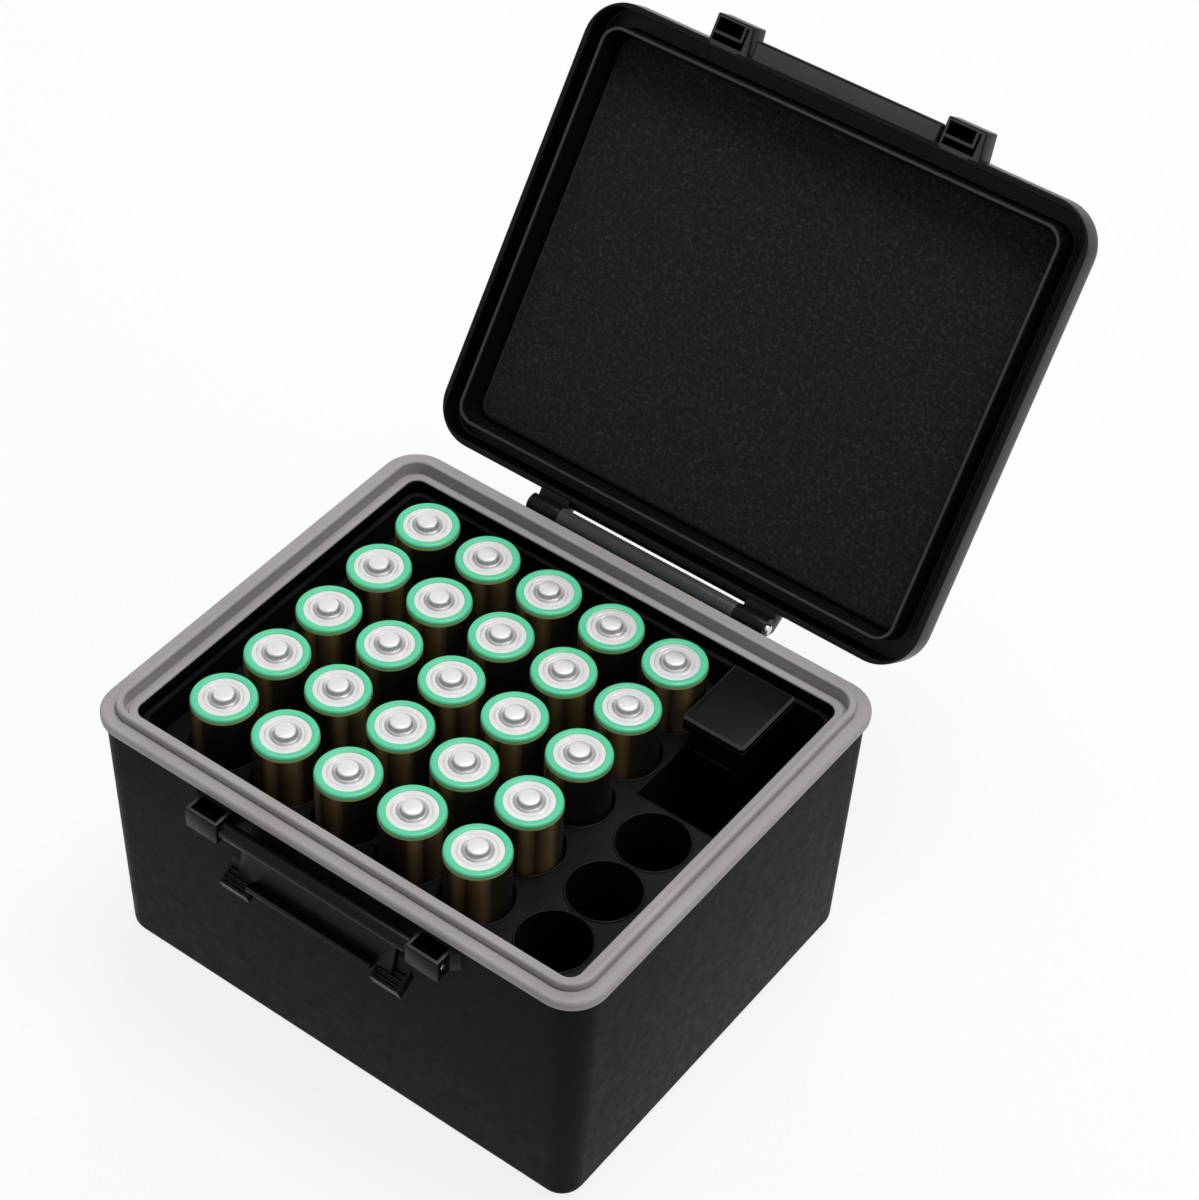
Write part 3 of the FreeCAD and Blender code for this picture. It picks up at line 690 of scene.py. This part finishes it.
def make_lid():
    """The lid: crown, band, deep channel, thin tongue and recess, drawn closed."""
    inner = tongue_inset + tongue_wall
    corners = ((middle_inset, lid_top, 0.0), (0.0, lid_top, crown_round), (0.0, lid_rim, 0.45),
               (lid_band, lid_rim, 0.3), (lid_band, lid_rim + channel_depth, 0.5),
               (tongue_inset, lid_rim + channel_depth, 0.5),
               (tongue_inset, lid_rim - tongue_drop, 0.3), (inner, lid_rim - tongue_drop, 0.3),
               (inner, lid_inside, 0.6), (middle_inset, lid_inside, 0.0))
    profile = rounded_profile(corners, steps=5)
    crown_end = next(i for i, point in enumerate(profile) if point.y <= lid_rim + crown_foot)
    channel_corner = seal_corner - lid_setback - lid_band

    def corner_at(inset, place):
        if place < crown_end:
            return max(lid_corner - inset, 1.0)
        if inset <= lid_band:
            return lid_corner + (channel_corner - lid_corner) * inset / lid_band
        share = min((inset - lid_band) / (tongue_inset - lid_band), 1.0)
        tongue_corner = lid_corner - tongue_inset
        along = channel_corner + (tongue_corner - channel_corner) * share
        return max(along - max(inset - tongue_inset, 0.0), 1.0)

    shell = swept_rim("lid_crown", lid_half, corner_at, profile, closed=False)
    dress(shell, rim_black, "lid", "case_plastic", "lid_shell")
    # The tongue's flat tip gets the lighter black, a painted highlight line
    paint_sheen_faces(shell, -1.0, -0.99, lid_rim - tongue_drop)
    turned(shell, hinge, -open_angle)


foam_inset = 6.95
foam_middle = foam_inset + 25.0
foam_gap = 0.05
foam_round = 1.1
foam_corner = lid_corner + 0.35


def make_foam():
    """The foam pad, with a soft rounded face."""
    back = lid_inside - foam_gap
    corners = ((foam_middle, foam_face, 0.0), (foam_inset, foam_face, foam_round),
               (foam_inset, back, 0.3), (foam_middle, back, 0.0))
    pad = swept_rim("lid_foam_pad", lid_half,
                    lambda inset, place: max(foam_corner - inset, 1.0),
                    rounded_profile(corners, steps=5), closed=False)
    turned(pad, hinge, -open_angle)
    dress(pad, foam_black, "lid", "foam", "lid_foam")


bracket_inner = 24.85
bracket_outer = 33.35
bracket_flare = 3.1
bracket_cheek = 0.85
bracket_front = latch.y - 2.2
bracket_end = latch.y + 1.6
bracket_low = latch.z - 3.0
bracket_top = latch.z + 2.5
bracket_back = 0.3
bracket_shade_drop = 0.25
root_depth = 1.5
case_root = root_depth - case_top_half.y
pin_shade_radius = 1.35
pin_bore = 1.05
bore_depth = 1.5
bore_steps = 28
shade_sleeve_inset = 0.4
crisp_edge = 0.08


def make_front_brackets():
    """The hollow brackets on the case front, with flared outer ends, painted shade deep in the
    hollows, a painted sheen on their tops and a near-black sleeve round the pin as painted shade.
    """
    back = -case_top_half.y - bracket_back
    for side, label in ((1, "right"), (-1, "left")):
        outline = ((bracket_inner * side, case_root), (bracket_inner * side, bracket_front),
                   (bracket_outer * side, bracket_front), (bracket_outer * side, bracket_end),
                   ((bracket_outer + bracket_flare) * side, case_root))
        bracket = prism("front_bracket_" + label, outline, bracket_low, bracket_top, along="Z")
        soften(bracket, 0.25, segments=2, angle=50.0)
        x = ((bracket_inner + bracket_cheek) * side, (bracket_outer - bracket_cheek) * side)
        y = (bracket_front + bracket_cheek, back)
        z = (bracket_low + bracket_cheek, bracket_top - bracket_shade_drop)
        carve(bracket, block("hollow", x, y, (z[0], bracket_top + 2.0)),
              prism("bore", disc_outline(latch.y, latch.z, pin_bore, steps=bore_steps),
                    (bracket_outer - bore_depth) * side, (bracket_outer + 3.0) * side))
        soften(bracket, crisp_edge)
        dress(bracket, rim_black, "case", "case_plastic", "box_body")
        # Painted shade on the faces deep in the hollow, and a painted sheen on the top faces at the
        # bracket's top
        paint_shade_inside(bracket, (x, y, z))
        paint_sheen_faces(bracket, 0.3, 1.0, bracket_top)
        # A near-black sleeve round the pin across the hollow, painted shade that hides the steel
        shade_sleeve = prism("pin_shade_sleeve_" + label,
                     disc_outline(latch.y, latch.z, pin_shade_radius, steps=bore_steps),
                     (bracket_inner + shade_sleeve_inset) * side, (bracket_outer - shade_sleeve_inset) * side)
        dress(shade_sleeve, painted_shade_black, "case", "case_plastic")


knuckle_radius = 2.3
knuckle_setback = 0.08
knuckle_round = 0.2
middle_half = 24.1
web_low = rim_level - 7.5
web_top = rim_level - 0.3
web_start = 1.1
ridge_count = 58
ridge_spacing = 0.8
ridge_bead = 0.13


def make_middle_knuckle():
    """The long hinge knuckle, its sloping web and the fine ridges round it."""
    y, z = hinge.y, hinge.z
    radius = knuckle_radius - knuckle_setback
    knuckle = prism("middle_knuckle", disc_outline(y, z, radius), -middle_half, middle_half)
    root = -case_root
    web = prism("web", ((root, web_top), (y - web_start, web_top), (y, z),
                        (y + radius, z), (root, web_low)),
                -middle_half, middle_half)
    merge(knuckle, web)
    soften(knuckle, knuckle_round)
    # The knuckle is wholly in the lighter black, a painted sheen
    dress(knuckle, painted_sheen_black, "case", "case_plastic", "box_body")

    # The ridges are in the lighter black too, a painted sheen
    ridges = Pattern("knuckle_ridges", painted_sheen_black, Count=ridge_count, Spacing=ridge_spacing,
                     Radius=knuckle_radius - ridge_bead, Bead=ridge_bead)
    offset = ridges.add("ShaderNodeCombineXYZ", X="Spacing")
    start = -ridge_spacing * (ridge_count - 1) / 2
    line = ridges.add("GeometryNodeMeshLine", Count="Count", Offset=offset.outputs["Vector"],
                      Start_Location=Vector((start, y, z)) * MM)
    hoop = ridges.add("GeometryNodeCurvePrimitiveCircle", Resolution=36, Radius="Radius")
    bead = ridges.add("GeometryNodeCurvePrimitiveCircle", Resolution=6, Radius="Bead")
    ring = ridges.add("GeometryNodeCurveToMesh", Curve=hoop.outputs["Curve"],
                      Profile_Curve=bead.outputs["Curve"])
    piece = ridges.grow(line.outputs["Mesh"], ring.outputs["Mesh"],
                        turn=(0.0, math.pi / 2, 0.0))
    dress(smooth(piece, 80.0), painted_sheen_black, "case", "case_plastic", "box_body")


arm_start = middle_half + 0.2
arm_length = 8.0
arm_rise = 5.0
arm_foot = 1.84
arm_shoulder = 1.15
strip_reach = 1.4
strip_low = 1.2
strip_high = 3.2
strip_slope = 1.0
strip_half = arm_start + 1.0


def make_lid_arms():
    """The lid's end knuckles, the arms that carry them and the strip between them."""
    y, z = hinge.y, hinge.z
    root = lid_half.y - lid_band / 2
    for side, label in ((1, "right"), (-1, "left")):
        start, end = sorted((arm_start * side, (arm_start + arm_length) * side))
        knuckle = prism("lid_knuckle_" + label, disc_outline(y, z, knuckle_radius), start, end)
        arm = prism("arm", ((root, lid_rim), (y - arm_foot, lid_rim), (y, z),
                            (y + knuckle_radius, z),
                            (y + arm_shoulder, lid_rim + arm_rise / 2),
                            (root, lid_rim + arm_rise)), start, end)
        merge(knuckle, arm)
        soften(knuckle, knuckle_round)
        turned(knuckle, hinge, -open_angle)
        dress(knuckle, rim_black, "lid", "case_plastic", "lid_shell")
    strip = prism("lid_back_strip", ((root, lid_rim + strip_low),
                                     (lid_half.y + strip_reach, lid_rim + strip_low),
                                     (lid_half.y + strip_reach, lid_rim + strip_high),
                                     (root, lid_rim + strip_high + strip_slope)),
                  -strip_half, strip_half)
    soften(strip, 0.25)
    turned(strip, hinge, -open_angle)
    dress(strip, rim_black, "lid", "case_plastic", "lid_shell")


flap_half = 23.9
rail_front = latch.y - 1.2
rail_height = 2.0
catch_starts = (-35.0, 24.3)
catch_frame = 8.0
catch_gap = 0.5
catch_length = 9.5
catch_flare = 1.0
catch_wall = 0.75
catch_front = -(lid_half.y + 6.1)
catch_height = 6.0
window_depth = 4.5
gap_front = -(lid_half.y + 1.7)
gap_back = -(lid_half.y + 0.15)
gap_start = catch_front + 0.9
catch_shade_start = 0.2
painted_glint_width = 1.0
# The painted highlight bar beside each catch bracket's gap
painted_glint_gap = 0.2
painted_glint_proud = 0.06
painted_glint_depth = 0.5


def make_catch():
    """The catch rail and the two hollow brackets on the lid front."""
    root = -(lid_half.y - lid_band / 2)
    rail = prism("catch_rail", ((root, lid_rim), (rail_front, lid_rim),
                                (rail_front, lid_rim + rail_height),
                                (root, lid_rim + rail_height)), -flap_half, flap_half)
    soften(rail, 0.5, segments=3)
    dress(rail, rim_black, "lid", "case_plastic", "lid_shell")
    # The rail's flat face gets the lighter black, a painted sheen
    paint_sheen_faces(rail, -1.0, -0.99, lid_rim)
    turned(rail, hinge, -open_angle)
    for start, label in zip(catch_starts, ("left", "right")):
        frame_end = start + catch_frame
        end = start + catch_length
        outline = ((start, root), (start, catch_front), (end, catch_front),
                   (end + catch_flare, root))
        bracket = prism("catch_bracket_" + label, outline, lid_rim, lid_rim + catch_height,
                        along="Z")
        soften(bracket, 0.3, segments=3, angle=50.0)
        far = lid_rim + window_depth
        z = (lid_rim - 1.0, far)
        spaces = (((start + catch_wall, frame_end - catch_wall),
                   (catch_front + catch_wall, gap_front - catch_wall), z),
                  ((start + catch_wall, frame_end + catch_gap), (gap_front, gap_back), z),
                  ((frame_end, frame_end + catch_gap), (gap_start, gap_back), z))
        carve(bracket, *(block("space", *space) for space in spaces))
        soften(bracket, crisp_edge)
        dress(bracket, rim_black, "lid", "case_plastic", "lid_shell")
        # Painted shade deep in the window and gaps, and a painted sheen on the bracket's face at
        # the rim
        paint_shade_inside(bracket, *(space[:2] + ((lid_rim + catch_shade_start, far),) for space in spaces))
        paint_sheen_faces(bracket, -1.0, -0.99, lid_rim)
        turned(bracket, hinge, -open_angle)
        # A thin bar of the lighter black beside the gap, a painted highlight line
        strip = block("catch_glint_strip_" + label,
                      (start + catch_wall, frame_end - painted_glint_gap),
                      (gap_back, gap_back + painted_glint_width),
                      (lid_rim - painted_glint_proud, lid_rim + painted_glint_depth))
        turned(strip, hinge, -open_angle)
        dress(strip, painted_sheen_black, "lid", "case_plastic", "lid_shell")


barrel_radius = 1.9
barrel_half = 24.5
plate_thickness = 1.6
plate_shoulder = 3.0
plate_root = 0.75
hook_thickness = 1.3
hook_reach = 2.3
flap_inner = latch.y - 1.5
flap_outer = flap_inner - plate_thickness
hook_level = lid_rim + rail_height + 0.3
hook_top = hook_level + hook_thickness
hook_back = flap_inner + hook_reach
plate_half = flap_half - 3.4
tab_width = 7.4
tab_start = flap_half - tab_width
grip_start = Vector((0.0, flap_outer, hook_level))
grip_end = grip_start + Vector((0.0, 3.4, 3.3))
tab_tip = grip_end + Vector((0.0, -1.6, 2.5))
tab_back = grip_start + Vector((0.0, -1.9, 2.1))
tab_root = grip_start - Vector((0.0, 0.0, 1.3))
tab_cheek = 0.6
flap_edge = 0.14
recess_margin = 0.55
recess_depth = 0.7
rib_count = 3
rib_radius = 0.42
rib_rise = 0.9 * rib_radius
rib_length = tab_width - 2 * tab_cheek


def make_flap():
    """The latch flap, drawn closed: barrel, plate with hook lip, ribbed finger tabs."""
    y, z = latch.y, latch.z
    flap = prism("latch_flap_plate", disc_outline(y, z, barrel_radius), -barrel_half,
                 barrel_half)
    plate = prism("plate", ((y, z), (y - barrel_radius, z), (flap_outer, z + plate_shoulder),
                            (flap_outer, hook_top), (flap_inner, hook_top),
                            (flap_inner, z + plate_root)), -plate_half, plate_half)
    hook = prism("hook", ((flap_outer, hook_level), (flap_outer, hook_top),
                          (hook_back, hook_top), (hook_back, hook_level)),
                 -tab_start, tab_start)
    merge(flap, plate, hook)
    along = (grip_end - grip_start).normalized()
    inward = Vector((0.0, -along.z, along.y))
    if inward.dot(tab_tip - grip_end) < 0:
        inward = -inward
    for side in (1, -1):
        start, end = sorted((tab_start * side, flap_half * side))
        tab = prism("tab", [point.yz for point in (grip_start, grip_end, tab_tip, tab_back,
                                                   tab_root)], start, end)
        first = grip_start + along * recess_margin
        last = grip_end - along * recess_margin
        recess = prism("recess", [point.yz for point in (
            first - inward, last - inward, last + inward * recess_depth,
            first + inward * recess_depth)], start + tab_cheek, end - tab_cheek)
        carve(tab, recess)
        merge(flap, tab)
    soften(flap, flap_edge)
    turned(flap, latch, hang_angle)
    dress(flap, rim_black, "flap", "case_plastic", "latch_flap")

    spacing = ((grip_end - grip_start).length - 2 * recess_margin) / rib_count
    for side, label in ((1, "right"), (-1, "left")):
        ribs = Pattern("finger_ribs_" + label, rim_black, Count=rib_count,
                       Length=rib_length, Radius=rib_radius)
        middle = (tab_start + flap_half) / 2 * side
        start = (grip_start + along * (recess_margin + spacing / 2)
                 + inward * rib_rise)
        line = ribs.add("GeometryNodeMeshLine", Count="Count",
                        Start_Location=Vector((middle, start.y, start.z)) * MM,
                        Offset=along * spacing * MM)
        reach = ribs.add("ShaderNodeCombineXYZ", X="Length")
        stroke = ribs.add("GeometryNodeCurvePrimitiveLine", End=reach.outputs["Vector"])
        round_bar = ribs.add("GeometryNodeCurvePrimitiveCircle", Resolution=16,
                             Radius="Radius")
        bar = ribs.add("GeometryNodeCurveToMesh", Curve=stroke.outputs["Curve"],
                       Profile_Curve=round_bar.outputs["Curve"], Fill_Caps=True)
        half_back = Vector((-rib_length / 2, 0.0, 0.0)) * MM
        centred = ribs.add("GeometryNodeTransform", Geometry=bar.outputs["Mesh"],
                           Translation=half_back)
        piece = ribs.grow(line.outputs["Mesh"], centred.outputs["Geometry"])
        turned(smooth(piece, 50.0), latch, hang_angle)
        dress(piece, rim_black, "flap", "case_plastic", "latch_flap")


def make_pins():
    """Both steel pins with chamfered ends."""
    for name, node, centre, radius in (("hinge_pin_wire", "hinge_pin", hinge, 1.1),
                                       ("latch_pin_wire", "latch_pin", latch, 0.9)):
        half = high(node).x
        pin = prism(name, disc_outline(centre.y, centre.z, radius), -half, half)
        soften(pin, 0.3, segments=3, angle=60.0)
        dress(pin, pin_steel, "case", "pin_steel", node)


def cell_profiles(base):
    """The sleeve's and the steel top's (radius, level) profiles."""
    sleeve = ((5.6, 0.12), (6.6, 0.05), (7.0, 0.2), (7.2, 0.5), (7.25, 1.0), (7.25, 24.0),
              (7.25, 47.8), (7.25, 48.45), (7.21, 48.8), (7.1, 49.08), (6.9, 49.27),
              (6.55, 49.36), (6.0, 49.32), (5.55, 49.2), (5.4, 49.0), (5.4, 48.3))
    top = ((0.05, 48.4), (5.6, 48.4), (5.6, 49.06), (5.0, 49.1), (4.5, 49.1), (4.35, 48.98),
           (4.15, 48.98), (4.0, 49.1), (3.5, 49.1), (3.25, 48.86), (2.9, 48.78), (2.72, 48.95),
           (2.5, 49.8), (2.4, 50.15), (2.15, 50.4), (1.7, 50.5), (0.05, 50.5))
    return ([(radius, base + level) for radius, level in sleeve],
            [(radius, base + level) for radius, level in top])


streak_steps = 11
streak_spread = 0.3


def make_cells():
    """Each cell: a sleeve folded over the shoulder, and the steel that shows within it."""
    sleeve_shape, top_shape = cell_profiles(cell_low)
    for row in range(rows):
        for column in range(columns):
            node = "cell_r%dc%d" % (row + 1, column + 1)
            centre = Vector((first_cell.x + pitch * column, first_cell.y + pitch * row))
            # The streaks of neighbouring cells face different ways
            turn = (row * 3 + column * 7) % streak_steps / streak_steps * streak_spread
            sleeve = lathe(node + "_sleeve", sleeve_shape, centre, start_share=turn)
            dress(sleeve, sleeve_print, node + "_body", "cell_sleeve", node)
            top = lathe(node + "_steel", top_shape, centre, steps=48)
            dress(top, cell_steel, node + "_body", "pin_steel", node)


small_corner = 0.8
cap_bevel = 0.55
cap_line = 0.35
cap_line_drop = 1.75
ridge_drop = 5.6
ridge_start = 1.8
ridge_length = 9.5
ridge_proud = 0.3
ridge_height = 0.4


def make_corner_box():
    """The small box in the pocket, with a thin ridge on its front, and its bevelled cap."""
    box_low, box_high = low("corner_box"), high("corner_box")
    box = block("corner_box_shell", (box_low.x, box_high.x), (box_low.y, box_high.y),
                (box_low.z, box_high.z))
    soften(box, small_corner, segments=4)
    level = box_high.z - ridge_drop
    start = box_low.x + ridge_start
    merge(box, block("ridge", (start, start + ridge_length),
                     (box_low.y - ridge_proud, box_low.y + 1.0),
                     (level - ridge_height, level)))
    soften(box, crisp_edge)
    dress(box, rim_black, "small_box", "small_box_plastic", "corner_box")
    # The ridge's top face gets the lighter black, a painted highlight
    paint_sheen_faces(box, 0.9, 1.0, level)
    cap_low, cap_high = low("corner_box_cap"), high("corner_box_cap")
    cap = block("corner_box_lid", (cap_low.x, cap_high.x), (cap_low.y, cap_high.y),
                (cap_low.z, cap_high.z))
    soften(cap, cap_bevel, segments=1)
    line_level = cap_high.z - cap_line_drop
    ring = block("ring", (cap_low.x - 1, cap_high.x + 1), (cap_low.y - 1, cap_high.y + 1),
                 (line_level, line_level + cap_line))
    core = block("core", (cap_low.x + cap_line, cap_high.x - cap_line),
                 (cap_low.y + cap_line, cap_high.y - cap_line),
                 (cap_low.z - 1, cap_high.z + 1))
    carve(ring, core)
    carve(cap, ring)
    soften(cap, crisp_edge)
    dress(cap, rim_black, "small_box", "small_box_plastic", "corner_box_cap")
    # The cap's bevels get the lighter black, painted highlights
    paint_sheen_faces(cap, 0.2, 0.95)


rim_bead = 0.28
bead_setback = 0.16
tray_edge = 4.9
well_web = 0.9


def make_well_rims():
    """A fine moulded bead round the mouth of every well."""
    end_x = tray_half.x - tray_edge - well_web - well_radius
    for label, x, count_x, count_y in (("full", first_cell.x, columns, rows),
                                       ("end", end_x, 1, empty_wells)):
        beads = Pattern("well_beads_" + label, tray_black, Columns=count_x, Rows=count_y,
                        Width=pitch * (count_x - 1), Depth=pitch * (count_y - 1),
                        Radius=well_radius + bead_setback, Bead=rim_bead)
        if count_x > 1:
            grid = beads.add("GeometryNodeMeshGrid", Size_X="Width", Size_Y="Depth",
                             Vertices_X="Columns", Vertices_Y="Rows")
        else:
            step = beads.add("ShaderNodeCombineXYZ", Y=pitch * MM)
            grid = beads.add("GeometryNodeMeshLine", Count="Rows",
                             Start_Location=Vector((0, -pitch * (count_y - 1) / 2, 0)) * MM,
                             Offset=step.outputs["Vector"])
        middle = Vector((x + pitch * (count_x - 1) / 2,
                         first_cell.y + pitch * (count_y - 1) / 2, deck_level)) * MM
        moved = beads.add("GeometryNodeTransform", Geometry=grid.outputs["Mesh"],
                          Translation=middle)
        hoop = beads.add("GeometryNodeCurvePrimitiveCircle", Resolution=64, Radius="Radius")
        bead = beads.add("GeometryNodeCurvePrimitiveCircle", Resolution=10, Radius="Bead")
        ring = beads.add("GeometryNodeCurveToMesh", Curve=hoop.outputs["Curve"],
                         Profile_Curve=bead.outputs["Curve"])
        piece = beads.grow(moved.outputs["Geometry"], ring.outputs["Mesh"])
        dress(smooth(piece, 80.0), tray_black, "case", "tray_plastic")


floor_reach = 6000.0
floor_thickness = 20.0
floor_shadow_share = 0.15
ambient_strength = 0.30
# The lamps' places and sizes are in metres
light_target = Vector((0.0, 0.02, 0.06))


def seen_share(nodes, links):
    """A factor of 1 for what the camera, mirrors and glass see, and 0 for soft light."""
    path = nodes.new("ShaderNodeLightPath")
    either = nodes.new("ShaderNodeMath")
    either.operation = "MAXIMUM"
    links.new(path.outputs["Is Camera Ray"], either.inputs[0])
    links.new(path.outputs["Is Glossy Ray"], either.inputs[1])
    every = nodes.new("ShaderNodeMath")
    every.operation = "MAXIMUM"
    links.new(either.outputs[0], every.inputs[0])
    links.new(path.outputs["Is Transmission Ray"], every.inputs[1])
    return every.outputs[0]


def make_floor():
    """A pale floor that keeps the object's shadow."""
    floor = prism("floor", ((-floor_reach, -floor_reach), (floor_reach, -floor_reach),
                            (floor_reach, floor_reach), (-floor_reach, floor_reach)),
                  -floor_thickness, 0.0, along="Z")
    material = bpy.data.materials.new("pale_floor")
    material.use_nodes = True
    nodes, links = material.node_tree.nodes, material.node_tree.links
    shader = nodes["Principled BSDF"]
    shader.inputs["Base Color"].default_value = (0.9, 0.9, 0.9, 1.0)
    shader.inputs["Roughness"].default_value = 0.9
    shader.inputs["Specular IOR Level"].default_value = 0.0
    glow = nodes.new("ShaderNodeEmission")
    glow.inputs["Strength"].default_value = 1.0
    share = nodes.new("ShaderNodeMath")
    share.operation = "MULTIPLY"
    share.inputs[1].default_value = 1.0 - floor_shadow_share
    links.new(seen_share(nodes, links), share.inputs[0])
    mix = nodes.new("ShaderNodeMixShader")
    links.new(share.outputs[0], mix.inputs["Fac"])
    links.new(shader.outputs[0], mix.inputs[1])
    links.new(glow.outputs[0], mix.inputs[2])
    links.new(mix.outputs[0], nodes["Material Output"].inputs["Surface"])
    floor.data.materials.append(material)


def make_light():
    """White surroundings and three large soft lamps."""
    world = bpy.data.worlds.new("studio")
    world.use_nodes = True
    nodes, links = world.node_tree.nodes, world.node_tree.links
    sky = nodes["Background"]
    sky.inputs["Color"].default_value = (1.0, 1.0, 1.0, 1.0)
    strength = nodes.new("ShaderNodeMapRange")
    strength.inputs["To Min"].default_value = ambient_strength
    strength.inputs["To Max"].default_value = 1.0
    links.new(seen_share(nodes, links), strength.inputs["Value"])
    links.new(strength.outputs["Result"], sky.inputs["Strength"])
    bpy.context.scene.world = world
    for name, place, size, power in (("top_light", (0.10, 0.20, 1.10), 0.45, 6.5),
                                     ("back_light", (-0.45, 0.75, 0.75), 0.35, 2.5),
                                     ("side_light", (0.95, 0.30, 0.85), 0.35, 1.2)):
        lamp = bpy.data.lights.new(name, "AREA")
        lamp.shape = "SQUARE"
        lamp.size = size
        lamp.energy = power
        light = bpy.data.objects.new(name, lamp)
        light.location = place
        light.visible_glossy = name != "back_light"
        aim = light_target - Vector(place)
        light.rotation_euler = aim.to_track_quat("-Z", "Y").to_euler()
        bpy.context.scene.collection.objects.link(light)


image_width = 1199
focal_pixels = 3225.946
camera_place = Vector((285.76, -373.09, 563.55))


def make_camera():
    """The photograph's own view: a long lens, high from the front right."""
    right = Vector((0.80026, 0.59853, 0.03668))
    down = Vector((0.44098, -0.54594, -0.71238))
    forward = right.cross(down)
    lens = bpy.data.cameras.new("photo_view")
    lens.sensor_fit = "HORIZONTAL"
    lens.sensor_width = 36.0
    lens.lens = focal_pixels / image_width * lens.sensor_width
    lens.clip_start = 0.01
    camera = bpy.data.objects.new("photo_view", lens)
    turn = Matrix((right, -down, -forward)).transposed().to_4x4()
    camera.matrix_world = Matrix.Translation(camera_place * MM) @ turn
    bpy.context.scene.collection.objects.link(camera)
    bpy.context.scene.camera = camera


make_camera()
make_floor()
make_light()
make_case()
make_seal()
make_lid()
make_foam()
make_front_brackets()
make_middle_knuckle()
make_lid_arms()
make_catch()
make_flap()
make_pins()
make_cells()
make_corner_box()
make_well_rims()
tray = frame["nodes"]["tray_insert"]
tray.data.materials.clear()
tray.data.materials.append(tray_black)

bpy.context.scene.view_settings.view_transform = "Standard"
